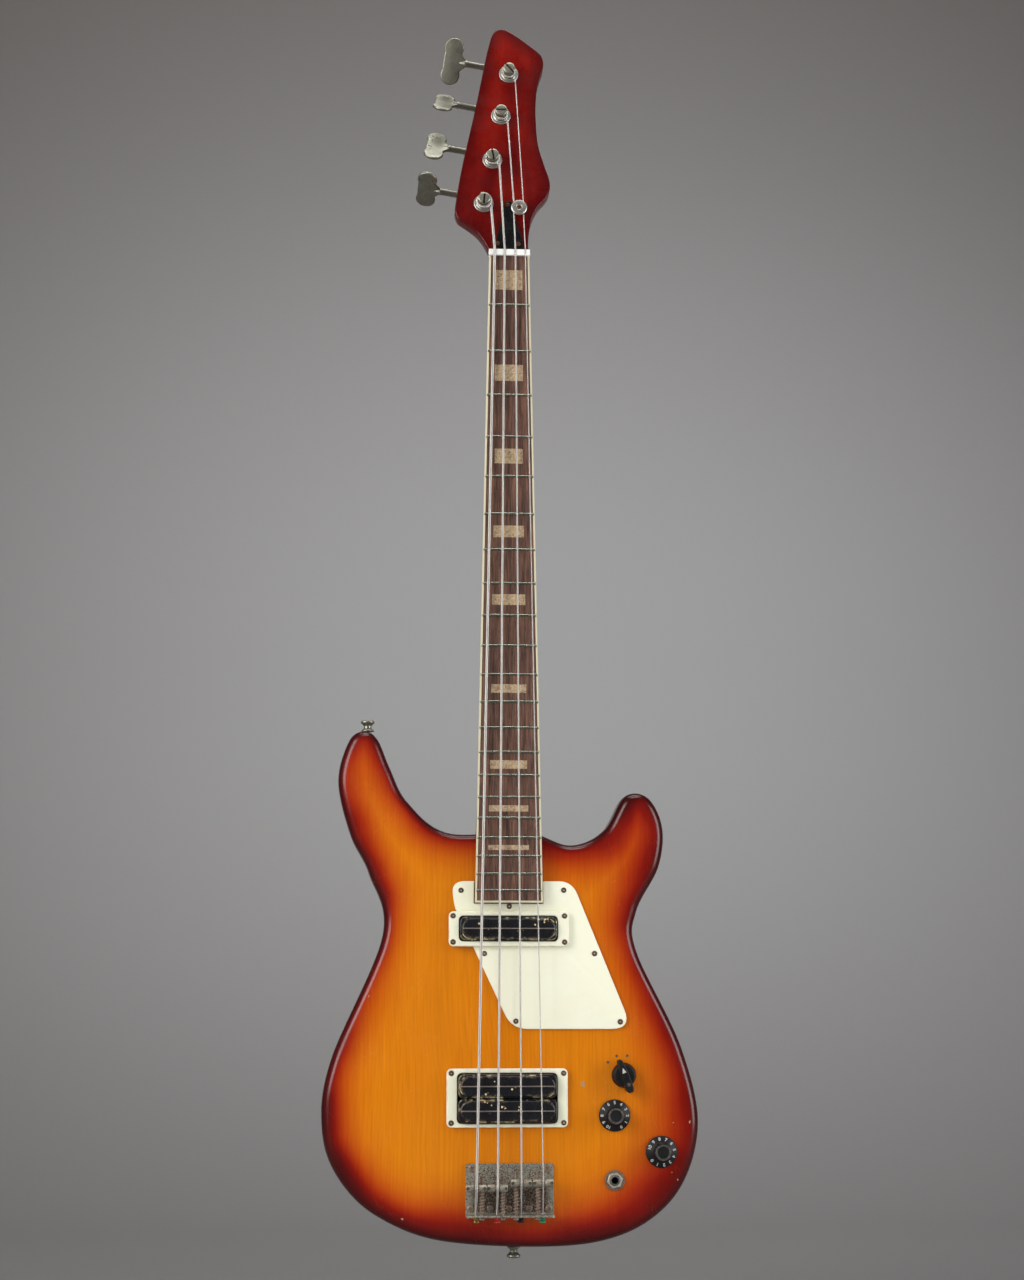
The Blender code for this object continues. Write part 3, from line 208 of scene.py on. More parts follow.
def skin(sections, **marks):
    """A closed skin over equal cross-sections (n, m, 3), with a flat face at each end."""
    count, around = np.shape(sections)[:2]
    ends = [np.arange(around)[None], np.arange((count - 1) * around, count * around)[None]]
    return shell(sections, [grid_faces(count, around)] + ends, **marks)


def soften(corners, radius, steps=4, closed=True):
    """Each corner becomes a short curve (1-t)^2 A + 2t(1-t) P + t^2 B between points up to radius away on
    its two sides."""
    corners = np.asarray(corners, float)
    before, after = np.roll(corners, 1, 0) - corners, np.roll(corners, -1, 0) - corners
    lengths = [np.linalg.norm(side, axis=1)[:, None] for side in (before, after)]
    reach = [
        np.minimum(np.broadcast_to(np.reshape(radius, (-1, 1)), length.shape), 0.48 * length)
        for length in lengths
    ]
    a, b = corners + before / lengths[0] * reach[0], corners + after / lengths[1] * reach[1]
    t = np.linspace(0, 1, steps)[None, :, None]
    made = (
        (1 - t) ** 2 * a[:, None] + 2 * t * (1 - t) * corners[:, None] + t**2 * b[:, None]
    ).reshape(-1, corners.shape[1])
    if not closed:
        made = np.concatenate([corners[:1], made[steps:-steps], corners[-1:]])
    return made


def flow(points, per_span, closed=True):
    """A Catmull-Rom curve: 1/2 (2 p1 + (p2-p0) t + (2 p0-5 p1+4 p2-p3) t^2 + (3 p1-p0-3 p2+p3) t^3) on
    every span."""
    points = np.asarray(points, float)
    if closed:
        p0, p1, p2, p3 = (np.roll(points, -k, 0)[:, None] for k in (-1, 0, 1, 2))
    else:
        padded = np.concatenate([points[:1], points, points[-1:]])
        p0, p1, p2, p3 = (padded[k:len(padded) - 3 + k][:, None] for k in range(4))
    t = (np.arange(per_span) / per_span)[None, :, None]
    made = 0.5 * (
        2 * p1 + (p2 - p0) * t + (2 * p0 - 5 * p1 + 4 * p2 - p3) * t**2
        + (3 * p1 - p0 - 3 * p2 + p3) * t**3
    )
    made = made.reshape(-1, points.shape[1])
    return made if closed else np.concatenate([made, points[-1:]])


# %% Tubes along a path
def tube(path, radius, around=12, lean=(0, -1, 0.12), **marks):
    """A circle of the radius at each path point, across its tangent: p + r (cos a u + sin a v), with v =
    tangent x lean."""
    path = np.asarray(path, float)
    tangent = np.gradient(path, axis=0)
    tangent /= np.linalg.norm(tangent, axis=1)[:, None]
    v = np.cross(tangent, np.broadcast_to(lean, path.shape))
    v /= np.linalg.norm(v, axis=1)[:, None]
    u = np.cross(v, tangent)
    angle = np.linspace(0, 2 * np.pi, around, endpoint=False)[None, :, None]
    width = np.broadcast_to(np.reshape(radius, (-1, 1, 1)), (len(path), 1, 1))
    rings = path[:, None] + width * (np.cos(angle) * u[:, None] + np.sin(angle) * v[:, None])
    run = np.concatenate([[0], np.cumsum(np.linalg.norm(np.diff(path, axis=0), axis=1))])
    return skin(rings, run=np.repeat(run, around), **marks)


# %% Plates with rounded rims
def inward(loop, distance):
    """Each corner moved to the left of its loop by the distance, along the mitre (n1 + n2) / (1 + n1.n2)."""
    ahead = np.roll(loop, -1, 0) - loop
    ahead = ahead / np.linalg.norm(ahead, axis=1)[:, None]
    behind = np.roll(ahead, 1, 0)
    across = np.stack([-(ahead + behind)[:, 1], (ahead + behind)[:, 0]], 1)
    return loop + distance * across / (1 + np.sum(ahead * behind, 1))[:, None]


def within(points, loops):
    """True where a point lies inside an odd number of loops, by counting the edges that a ray to its
    right crosses."""
    crossings = np.zeros(len(points), int)
    for loop in loops:
        x, y = points[:, :1], points[:, 1:2]
        (x1, y1), (x2, y2) = loop.T, np.roll(loop, -1, 0).T
        spans = (y1 > y) != (y2 > y)
        crossings += np.sum(spans & (x < (x2 - x1) * (y - y1) / (y2 - y1 + 1e-15) + x1), 1)
    return crossings % 2 == 1


def cap(loops, height, extra=None):
    """A flat face over loops, the inner ones left open, split into triangles."""
    flat = np.concatenate(list(loops) + ([extra] if extra is not None else []))
    edges, start = [], 0
    for loop in loops:
        index = np.arange(len(loop)) + start
        edges += np.stack([index, np.roll(index, -1)], 1).tolist()
        start += len(loop)
    found, _, faces, _, _, _ = delaunay_2d_cdt([Vector(point) for point in flat], edges, [], 1, 1e-9)
    found, faces = np.array([tuple(point) for point in found]), np.array(faces)
    faces = faces[within(found[faces].mean(1), loops)]
    return shell(np.column_stack([found, np.full(len(found), height)]), [faces])


def wall(loop, low, high):
    """A straight wall along a loop between two heights."""
    rings = np.stack([np.column_stack([loop, np.full(len(loop), height)]) for height in (low, high)])
    return shell(rings, [grid_faces(2, len(loop))])


def rim(loop, low, high, edge, steps=5):
    """A wall with quarter-round rims: inset e(1 - sin t) and rise e(1 - cos t) below, and the same turned
    over above."""
    t = np.linspace(0, np.pi / 2, steps + 1)
    insets = np.concatenate([edge * (1 - np.sin(t)), edge * (1 - np.cos(t))])
    heights = np.concatenate([low + edge * (1 - np.cos(t)), high - edge + edge * np.sin(t)])
    rings = np.stack(
        [
            np.column_stack([inward(loop, inset), np.full(len(loop), height)])
            for inset, height in zip(insets, heights)
        ]
    )
    return shell(rings, [grid_faces(len(rings), len(loop))])


def slab(outline, low, high, edge=0.3 * MM, steps=3, holes=(), paint=0):
    """A plate between two heights. The outline runs anticlockwise, and holes go right through."""
    loops = [np.asarray(outline)] + [np.asarray(hole)[::-1] for hole in holes]
    made = [rim(loop, low, high, edge, steps) for loop in loops]
    ends = [inward(loop, edge) for loop in loops]
    return [{**part, "paint": paint} for part in made + [cap(ends, low), cap(ends, high)]]


def rectangle(left, right, bottom, top, radius, steps=7):
    """Corners as quarter circles, anticlockwise from the lower right."""
    centres = np.array(
        [
            (right - radius, bottom + radius), (right - radius, top - radius),
            (left + radius, top - radius), (left + radius, bottom + radius),
        ]
    )
    angle = np.radians(-90 + 90 * np.arange(4)[:, None] + np.linspace(0, 90, steps))
    return (centres[:, None] + radius * np.stack([np.cos(angle), np.sin(angle)], -1)).reshape(-1, 2)


def circle(x, y, radius, steps=24):
    """(x + r cos a, y + r sin a), anticlockwise."""
    angle = np.linspace(0, 2 * np.pi, steps, endpoint=False)
    return np.column_stack([x + radius * np.cos(angle), y + radius * np.sin(angle)])


def brick(low, high, edge=0.3 * MM, paint=0):
    """A box with soft corners: a small rectangle's plate."""
    return slab(
        rectangle(low[0], high[0], low[1], high[1], edge * 1.5, 3), low[2], high[2], edge, 2, paint=paint,
    )


# %% [markdown]
# ## Cutting
# A slot in a post or a cross in a screw is easiest as a cut. The cut runs once on a small
# loose mesh, and the result goes back to arrays, so one screw head serves for every small screw.

# %% Cut one set of shells with others
def carved(shells, cutters):
    """The first shells less the second, as one shell again, with its faces grouped by their number of
    corners."""
    holders = []
    for name, group in (("whole", shells), ("cutter", cutters)):
        holders.append(bpy.data.objects.new(name, mesh_from(name, group)))
        bpy.context.scene.collection.objects.link(holders[-1])
    whole, cutter = holders
    cut = whole.modifiers.new("cut", "BOOLEAN")
    cut.operation, cut.solver, cut.object = "DIFFERENCE", "EXACT", cutter
    mesh = bpy.data.meshes.new_from_object(whole.evaluated_get(bpy.context.evaluated_depsgraph_get()))
    points = np.zeros(len(mesh.vertices) * 3)
    mesh.vertices.foreach_get("co", points)
    corners = np.zeros(len(mesh.loops), int)
    mesh.loops.foreach_get("vertex_index", corners)
    starts, counts = np.zeros(len(mesh.polygons), int), np.zeros(len(mesh.polygons), int)
    mesh.polygons.foreach_get("loop_start", starts)
    mesh.polygons.foreach_get("loop_total", counts)
    faces = [corners[starts[counts == n][:, None] + np.arange(n)] for n in np.unique(counts)]
    for holder in holders:
        bpy.data.objects.remove(holder, do_unlink=True)
    return shell(points, faces)


FRONT = Matrix.Rotation(math.radians(90.0), 4, "X")
FACE = Matrix.Translation((0, 12.0 * MM, 0)) @ FRONT
HEAD_START = 6.8 * MM
HEAD = Matrix.Translation((0, 5.0 * MM, HEAD_START)) @ Matrix.Rotation(math.radians(-7.0), 4, "X") @ FRONT


def at(place, x, y, z=0.0, turned_by=0.0):
    """A place moved along its own axes and then turned about its own z."""
    return place @ Matrix.Translation((x, y, z)) @ Matrix.Rotation(turned_by, 4, "Z")


def cross_head(radius, height, dome=0.35, slot=False):
    """A countersunk or dome-headed screw from above: a turned button with a cross or a slot cut in it."""
    t = np.linspace(0, np.pi / 2, 7)
    crown = np.column_stack([radius * np.sin(t), height * (1 - dome) + height * dome * np.cos(t)])
    button = turned(np.concatenate([crown, [(radius, 0), (0, 0)]]), 24)
    depth, arm, wide = 0.75 * height, 0.62 * radius, 0.13 * radius
    bars = [brick((-arm, -wide, height - depth), (arm, wide, height + radius), 0.02 * MM)]
    if slot:
        bars = [brick((-2 * radius, -wide, height - depth), (2 * radius, wide, height + radius), 0.02 * MM)]
    else:
        bars.append(brick((-wide, -arm, height - depth), (wide, arm, height + radius), 0.02 * MM))
    made = carved([button], bars[0])
    return made if slot else carved([made], bars[1])


SMALL_SCREW = cross_head(2.5 * MM, 1.0 * MM)
print("a screw head has", sum(len(f) for f in SMALL_SCREW["faces"]), "faces")


def screws(places, frame_at, height, size=1.0):
    """The small screw head repeated at (x, y) places in millimetres, each turned its own way."""
    scaled = Matrix.Diagonal((size, size, size, 1))
    return [
        moved(SMALL_SCREW, at(frame_at, x * MM, y * MM, height, 0.7 * i + 0.3) @ scaled)
        for i, (x, y) in enumerate(places)
    ]

# %% [markdown]
# ## Room and light
# The instrument hangs in front of a plain paper sweep: a pale floor that curves up into the
# backdrop, so no line shows behind it. Two large soft lamps stand at the sides, as in a small
# product studio, and the world fills the shadows evenly. The sweep's cross-section is a
# function of one angle, drawn out sideways.

# %% Node helpers
def add(tree, kind, sockets=None, **settings):
    """A node with its settings, and its sockets set to a value or joined to another socket."""
    made = tree.nodes.new(kind)
    for name, value in settings.items():
        setattr(made, name, value)
    for name, value in (sockets or {}).items():
        if isinstance(value, bpy.types.NodeSocket):
            tree.links.new(value, made.inputs[name])
        else:
            made.inputs[name].default_value = value
    return made


def calc(tree, operation, a, b=0.0, clamp=False):
    """The result of one sum on two values or sockets."""
    return add(tree, "ShaderNodeMath", {0: a, 1: b}, operation=operation, use_clamp=clamp).outputs[0]


def product(tree, a, b, clamp=False):
    """a times b."""
    return calc(tree, "MULTIPLY", a, b, clamp)


def noise(tree, vector, scale, detail, **more):
    """Cloudy values from 0 to 1, with more of the node's sockets by name."""
    sockets = {"Vector": vector, "Scale": scale, "Detail": detail, **more}
    return add(tree, "ShaderNodeTexNoise", sockets).outputs["Fac"]


def mixed(tree, factor, a, b, kind="MIX"):
    """The colour a, blended with the colour b by the factor."""
    return add(tree, "ShaderNodeMix", {0: factor, 6: a, 7: b}, data_type="RGBA", blend_type=kind).outputs[2]


def remap(tree, value, low, high, to_low=0.0, to_high=1.0):
    """The value carried from low..high to a new span and held inside it."""
    return add(tree, "ShaderNodeMapRange", {0: value, 1: low, 2: high, 3: to_low, 4: to_high}).outputs[0]


def ramp(tree, value, stops):
    """A colour that changes evenly between (position, colour) stops."""
    made = add(tree, "ShaderNodeValToRGB", {0: value})
    elements = made.color_ramp.elements
    while len(elements) < len(stops):
        elements.new(0.5)
    for element, (position, colour) in zip(elements, stops):
        element.position = position
        element.color = (*colour, 1)
    return made.outputs[0]


def rgb(r, g, b):
    """A colour as a socket takes it, with full alpha."""
    return (r, g, b, 1.0)


def new_finish(name, colour, roughness, metallic=0.0):
    """A material with its Principled shader set to plain values, and the object's own coordinates."""
    made = bpy.data.materials.new(name)
    made.use_nodes = True
    made.diffuse_color = (*colour, 1)
    shader = made.node_tree.nodes["Principled BSDF"]
    shader.inputs["Base Color"].default_value = (*colour, 1)
    shader.inputs["Roughness"].default_value = roughness
    shader.inputs["Metallic"].default_value = metallic
    coordinates = add(made.node_tree, "ShaderNodeTexCoord").outputs["Object"]
    return made, made.node_tree, shader, coordinates


def wire(tree, shader, **sockets):
    """Feeds shader sockets, whose names are written with underscores."""
    for name, value in sockets.items():
        tree.links.new(value, shader.inputs[name.replace("_", " ")])


def emboss(tree, shader, strength, depth, height):
    """Raises the surface by a mask of heights, where one counts as the depth in metres."""
    bump = add(tree, "ShaderNodeBump", {"Strength": strength, "Distance": depth, "Height": height})
    wire(tree, shader, Normal=bump.outputs[0])


# %% Paper sweep and lamps
FLOOR_LEVEL, BACK_WALL, SWEEP = -1.02, 1.9, 0.9
bend = np.linspace(0, np.pi / 2, 24)
section = np.concatenate(
    [
        [(-4.5, FLOOR_LEVEL)],
        np.column_stack(
            [BACK_WALL - SWEEP + SWEEP * np.sin(bend), FLOOR_LEVEL + SWEEP * (1 - np.cos(bend))]
        ),
        [(BACK_WALL, 2.6)],
    ]
)
sides = np.array([-4.0, 4.0])
sweep_points = np.stack([np.column_stack([np.full(len(section), x), section]) for x in sides], 1)
sweep_mesh = bpy.data.meshes.new("paper_sweep")
sweep_mesh.from_pydata(
    sweep_points.reshape(-1, 3).tolist(), [], grid_faces(len(section), 2, wrap_columns=False).tolist(),
)
sweep_mesh.shade_smooth()
sweep = bpy.data.objects.new("paper_sweep", sweep_mesh)
bpy.context.scene.collection.objects.link(sweep)

# %% A painted pool of light: a grey that falls off towards the corners
def seen_directly(tree):
    """One where the camera sees the background, straight or through a reflection or glass."""
    path = add(tree, "ShaderNodeLightPath").outputs
    bounced = calc(tree, "MAXIMUM", path["Is Glossy Ray"], path["Is Transmission Ray"])
    return calc(tree, "MAXIMUM", path["Is Camera Ray"], bounced)


paper, tree, shader, coordinates = new_finish("pale_paper", (0.62, 0.615, 0.605), 0.9)
from_middle = add(
    tree, "ShaderNodeVectorMath", {0: coordinates, 1: (0.181, 1.9, -0.138)}, operation="SUBTRACT",
)
scaled = add(
    tree, "ShaderNodeVectorMath", {0: from_middle.outputs[0], 1: (0.705, 0.3, 0.985)},
    operation="MULTIPLY",
)
squared = add(
    tree, "ShaderNodeVectorMath", {0: scaled.outputs[0], 1: scaled.outputs[0]}, operation="DOT_PRODUCT",
)
# Painted pool of light on the backdrop as the camera sees it: brightest at its middle, darker towards the
# corners.
painted_light_pool = calc(tree, "POWER", 2.718, product(tree, squared.outputs["Value"], -1.0))
painted_backdrop_greys = mixed(tree, painted_light_pool, rgb(0.066, 0.058, 0.052), rgb(0.279, 0.274, 0.272))
wire(tree, shader, Base_Color=mixed(tree, seen_directly(tree), rgb(0.62, 0.615, 0.605), painted_backdrop_greys))
behind = add(tree, "ShaderNodeNewGeometry").outputs["Backfacing"]
see_through = add(tree, "ShaderNodeBsdfTransparent").outputs[0]
one_sided = add(tree, "ShaderNodeMixShader", {0: behind, 1: shader.outputs[0], 2: see_through}).outputs[0]
tree.links.new(one_sided, tree.nodes["Material Output"].inputs["Surface"])
sweep_mesh.materials.append(paper)

world = bpy.data.worlds.new("room")
world.use_nodes = True
bpy.context.scene.world = world
background = world.node_tree.nodes["Background"]
background.inputs["Color"].default_value = (0.93, 0.96, 1.0, 1)
room = world.node_tree
rise = add(
    room, "ShaderNodeSeparateXYZ", {0: add(room, "ShaderNodeTexCoord").outputs["Generated"]},
).outputs["Z"]
dim_wall = ramp(
    room, rise,
    [
        (0.0, (0.02, 0.02, 0.02)), (0.05, (0.10, 0.10, 0.10)), (0.11, (0.17, 0.17, 0.17)),
        (0.24, (0.09, 0.09, 0.09)), (0.5, (0.05, 0.05, 0.05)),
    ],
)
strength = mixed(room, seen_directly(room), rgb(0.5, 0.5, 0.5), dim_wall)
room.links.new(strength, background.inputs["Strength"])


def lamp(name, place, aim, size, watts, colour=(1, 1, 1)):
    """A rectangular soft lamp, of a width and height in metres, turned to face its aim."""
    data = bpy.data.lights.new(name, "AREA")
    data.shape, data.size, data.size_y = "RECTANGLE", *size
    data.energy, data.color = watts, colour
    made = bpy.data.objects.new(name, data)
    made.location = place
    made.rotation_euler = (Vector(aim) - Vector(place)).to_track_quat("-Z", "Y").to_euler()
    bpy.context.scene.collection.objects.link(made)


lamp(
    "left_softbox", (-2.1, -1.5, 0.35), aim=(0, 0, -0.4), size=(1.2, 1.9), watts=54,
    colour=(1.0, 0.985, 0.96),
)
lamp(
    "right_softbox", (2.2, -0.9, -0.25), aim=(0, 0, -0.5), size=(1.0, 1.9), watts=37,
    colour=(0.96, 0.98, 1.0),
)
lamp("top_softbox", (0.2, -0.45, 1.9), aim=(0, 0.1, -0.3), size=(1.4, 0.6), watts=15)
lamp("backdrop_lamp", (0.1, 0.55, 1.9), aim=(0, 1.9, -0.4), size=(1.8, 0.4), watts=16)
scene = bpy.context.scene
scene.view_settings.view_transform = "Standard"

# %% [markdown]
# ## Effects that several finishes share
# Old instruments age in the same few ways: wood shows streaks, edges wear, nickel goes cloudy,
# iron rusts in specks, and lacquer scratches. Each is a node group with inputs for its scale,
# so every material can use it at its own size. A group gives only masks, never a shader.

# %% Make a node group
def new_group(name, inputs, outputs):
    """An empty group: inputs are (name, start value) and outputs are names of plain values."""
    tree = bpy.data.node_groups.new(name, "ShaderNodeTree")
    for label, value in inputs:
        kind = "NodeSocketVector" if value is None else "NodeSocketFloat"
        socket = tree.interface.new_socket(label, in_out="INPUT", socket_type=kind)
        if value is not None:
            socket.default_value = value
    for label in outputs:
        tree.interface.new_socket(label, in_out="OUTPUT", socket_type="NodeSocketFloat")
    return tree, tree.nodes.new("NodeGroupInput").outputs, tree.nodes.new("NodeGroupOutput").inputs


def use(tree, group, output, **sockets):
    """Places a group in a material and gives one of its outputs."""
    return add(
        tree, "ShaderNodeGroup", {name.replace("_", " "): value for name, value in sockets.items()},
        node_tree=group,
    ).outputs[output]


# %% Wood, wear, tarnish, specks and scratches
wood, given, out = new_group(
    "wood_streaks", [("Vector", None), ("Scale", 300.0), ("Stretch", 14.0)],
    ["Streaks", "Pores", "Figure"],
)
along = calc(wood, "DIVIDE", 1.0, given["Stretch"])
stretched = add(
    wood, "ShaderNodeVectorMath",
    {0: given["Vector"], 1: add(wood, "ShaderNodeCombineXYZ", {0: 1.0, 1: 1.0, 2: along}).outputs[0]},
    operation="MULTIPLY",
).outputs[0]
fine = noise(wood, stretched, given["Scale"], 5.0, Roughness=0.62, Distortion=0.5)
broad = noise(wood, stretched, product(wood, given["Scale"], 0.12), 3.0)
tiny = noise(wood, stretched, product(wood, given["Scale"], 4.5), 2.0)
wood.links.new(remap(wood, fine, 0.32, 0.68), out["Streaks"])
wood.links.new(remap(wood, tiny, 0.58, 0.68), out["Pores"])
wood.links.new(remap(wood, broad, 0.35, 0.65), out["Figure"])

# The edge mask also carries painted shade along the binding's rounded edge.
wear, given, out = new_group(
    "edge_wear", [("Vector", None), ("Radius", 0.0012), ("Gain", 5.0), ("Scale", 260.0)], ["Mask"],
)
bevelled = add(wear, "ShaderNodeBevel", {"Radius": given["Radius"]}, samples=4).outputs[0]
agree = add(
    wear, "ShaderNodeVectorMath", {0: bevelled, 1: add(wear, "ShaderNodeNewGeometry").outputs["Normal"]},
    operation="DOT_PRODUCT",
).outputs["Value"]
edge_line = product(wear, calc(wear, "SUBTRACT", 1.0, agree), given["Gain"], clamp=True)
broken = noise(wear, given["Vector"], given["Scale"], 4.0)
wear.links.new(product(wear, edge_line, remap(wear, broken, 0.4, 0.6), clamp=True), out["Mask"])

tarnish, given, out = new_group("tarnish", [("Vector", None), ("Scale", 120.0)], ["Blotches", "Haze"])
blotchy = noise(tarnish, given["Vector"], given["Scale"], 8.0, Roughness=0.68, Distortion=0.3)
hazy = noise(tarnish, given["Vector"], product(tarnish, given["Scale"], 6.0), 3.0)
tarnish.links.new(remap(tarnish, blotchy, 0.38, 0.66), out["Blotches"])
tarnish.links.new(remap(tarnish, hazy, 0.35, 0.65), out["Haze"])

specks, given, out = new_group(
    "specks", [("Vector", None), ("Scale", 700.0), ("Size", 0.25), ("Share", 0.3)], ["Mask"],
)
cells = add(specks, "ShaderNodeTexVoronoi", {"Vector": given["Vector"], "Scale": given["Scale"]})
drawn = add(specks, "ShaderNodeSeparateColor", {0: cells.outputs["Color"]}).outputs[0]
spot = calc(specks, "LESS_THAN", cells.outputs["Distance"], product(specks, given["Size"], drawn))
chosen = noise(specks, given["Vector"], product(specks, given["Scale"], 0.07), 2.0)
gate = calc(specks, "LESS_THAN", chosen, calc(specks, "ADD", 0.32, product(specks, given["Share"], 0.5)))
specks.links.new(product(specks, spot, gate), out["Mask"])

scratches, given, out = new_group(
    "scratches", [("Vector", None), ("Scale", 60.0), ("Stretch", 9.0)], ["Lines"],
)
tilted = add(
    scratches, "ShaderNodeVectorRotate", {"Vector": given["Vector"], "Angle": 0.35},
    rotation_type="Y_AXIS",
).outputs[0]
squeezed = add(
    scratches, "ShaderNodeVectorMath",
    {
        0: tilted,
        1: add(scratches, "ShaderNodeCombineXYZ", {0: given["Stretch"], 1: 1.0, 2: 1.0}).outputs[0],
    },
    operation="MULTIPLY",
).outputs[0]
webs = add(
    scratches, "ShaderNodeTexVoronoi", {"Vector": squeezed, "Scale": given["Scale"], "Randomness": 1.0},
    feature="DISTANCE_TO_EDGE",
).outputs["Distance"]
some = noise(scratches, given["Vector"], 45.0, 3.0)
scratches.links.new(
    product(scratches, remap(scratches, webs, 0.012, 0.0), remap(scratches, some, 0.56, 0.66)),
    out["Lines"],
)
print("groups:", [g.name for g in bpy.data.node_groups])

# %% [markdown]
# ## Finishes
# Each finish starts from a plain colour that was read off the photograph, and then gets its
# own unevenness. The sunburst is the special one: stained lacquer was sprayed darker and darker
# towards the rim, so its colour depends on how far a point lies from the body's edge. The body
# carries that distance as a value called burst, already divided by the width of the spray there.

# %% Sunburst lacquer
sunburst, tree, shader, coordinates = new_finish("sunburst", (0.6, 0.17, 0.01), 0.34)
burst = add(tree, "ShaderNodeAttribute", attribute_name="burst").outputs["Fac"]
drift = noise(tree, coordinates, 16.0, 3.0)
spray = product(
    tree, calc(tree, "ADD", burst, product(tree, calc(tree, "SUBTRACT", drift, 0.5), 0.35)), 1 / 3,
)
stain = ramp(tree, spray, [
    (0.0, (0.030, 0.002, 0.002)), (0.06, (0.055, 0.002, 0.002)), (0.15, (0.115, 0.003, 0.002)),
    (0.24, (0.225, 0.006, 0.001)), (0.335, (0.365, 0.026, 0.001)), (0.44, (0.49, 0.070, 0.001)),
    (0.57, (0.585, 0.124, 0.001)), (0.74, (0.66, 0.178, 0.001)), (1.0, (0.70, 0.214, 0.001)),
])
streaks = use(tree, wood, "Streaks", Vector=coordinates, Scale=420.0, Stretch=26.0)
figure = use(tree, wood, "Figure", Vector=coordinates, Scale=420.0, Stretch=9.0)
long_waves = add(
    tree, "ShaderNodeVectorMath", {0: coordinates, 1: (1.0, 1.0, 0.3)}, operation="MULTIPLY",
).outputs[0]
wavy = noise(tree, long_waves, 10.0, 2.0)
shifted = add(
    tree, "ShaderNodeVectorMath",
    {
        0: coordinates,
        1: add(tree, "ShaderNodeCombineXYZ", {0: product(tree, wavy, 0.05), 1: 0.0, 2: 0.0}).outputs[0],
    },
    operation="ADD",
).outputs[0]
rings = add(
    tree, "ShaderNodeTexWave",
    {"Vector": shifted, "Scale": 84.0, "Distortion": 3.0, "Detail": 3.0, "Detail Scale": 0.5},
    wave_type="BANDS", bands_direction="X",
).outputs["Fac"]
grained = mixed(tree, product(tree, streaks, 0.36), stain, rgb(0.62, 0.46, 0.36), "MULTIPLY")
ringed = mixed(
    tree, product(tree, remap(tree, rings, 0.5, 1.0), 0.12), grained, rgb(0.7, 0.45, 0.3), "MULTIPLY",
)
patched = mixed(tree, product(tree, figure, 0.22), ringed, rgb(0.8, 0.66, 0.5), "MULTIPLY")
scuffs = use(tree, scratches, "Lines", Vector=coordinates, Scale=34.0, Stretch=7.0)
nicks = use(tree, specks, "Mask", Vector=coordinates, Scale=55.0, Size=0.055, Share=0.12)
pale_nicks = mixed(tree, nicks, patched, rgb(0.3, 0.12, 0.03))
wire(tree, shader, Base_Color=mixed(tree, product(tree, scuffs, 0.12), pale_nicks, rgb(0.45, 0.2, 0.03)))
cloudy = use(tree, tarnish, "Blotches", Vector=coordinates, Scale=22.0)
wire(
    tree, shader,
    Roughness=calc(tree, "ADD", remap(tree, cloudy, 0.0, 1.0, 0.19, 0.29), product(tree, scuffs, 0.2)),
)
relief = calc(tree, "SUBTRACT", product(tree, streaks, 0.35), calc(tree, "ADD", scuffs, nicks))
emboss(tree, shader, 0.15, 0.0001, relief)
shader.inputs["Coat Weight"].default_value = 0.2
shader.inputs["Coat Roughness"].default_value = 0.2
shader.inputs["Specular IOR Level"].default_value = 0.25

# %% Red lacquer of the neck and headstock
red_lacquer, tree, shader, coordinates = new_finish("red_lacquer", (0.26, 0.008, 0.005), 0.32)
streaks = use(tree, wood, "Streaks", Vector=coordinates, Scale=380.0, Stretch=22.0)
figure = use(tree, wood, "Figure", Vector=coordinates, Scale=300.0, Stretch=2.5)
edge_near = add(tree, "ShaderNodeAttribute", attribute_name="rim").outputs["Fac"]
middle = mixed(tree, figure, rgb(0.12, 0.001, 0.001), rgb(0.245, 0.006, 0.001))
toned = mixed(tree, remap(tree, edge_near, 0.0, 0.015), rgb(0.075, 0.001, 0.001), middle)
streaked = mixed(tree, product(tree, streaks, 0.35), toned, rgb(0.55, 0.4, 0.4), "MULTIPLY")
nicks = use(tree, specks, "Mask", Vector=coordinates, Scale=90.0, Size=0.06, Share=0.15)
wire(tree, shader, Base_Color=mixed(tree, nicks, streaked, rgb(0.5, 0.33, 0.2)))
cloudy = use(tree, tarnish, "Blotches", Vector=coordinates, Scale=40.0)
wire(tree, shader, Roughness=remap(tree, cloudy, 0.0, 1.0, 0.24, 0.42))
emboss(tree, shader, 0.25, 0.0001, calc(tree, "SUBTRACT", streaks, nicks))
shader.inputs["Coat Weight"].default_value = 0.25
shader.inputs["Coat Roughness"].default_value = 0.12
shader.inputs["Specular IOR Level"].default_value = 0.2

# %% Rosewood, inlay and frets
rosewood, tree, shader, coordinates = new_finish("rosewood", (0.1, 0.035, 0.02), 0.5)
streaks = use(tree, wood, "Streaks", Vector=coordinates, Scale=520.0, Stretch=16.0)
figure = use(tree, wood, "Figure", Vector=coordinates, Scale=1500.0, Stretch=12.0)
pores = use(tree, wood, "Pores", Vector=coordinates, Scale=520.0, Stretch=20.0)
brown = ramp(
    tree, streaks,
    [(0.0, (0.032, 0.014, 0.010)), (0.4, (0.105, 0.044, 0.027)), (1.0, (0.25, 0.115, 0.066))],
)
varied = mixed(tree, product(tree, figure, 0.5), brown, rgb(0.5, 0.4, 0.4), "MULTIPLY")
played = use(tree, tarnish, "Blotches", Vector=coordinates, Scale=30.0)
worn = mixed(tree, product(tree, played, 0.25), varied, rgb(0.2, 0.1, 0.065))
wire(tree, shader, Base_Color=mixed(tree, product(tree, pores, 0.75), worn, rgb(0.018, 0.008, 0.006)))
wire(tree, shader, Roughness=remap(tree, streaks, 0.0, 1.0, 0.58, 0.42))
emboss(tree, shader, 0.5, 0.0002, calc(tree, "SUBTRACT", product(tree, streaks, 0.3), pores))

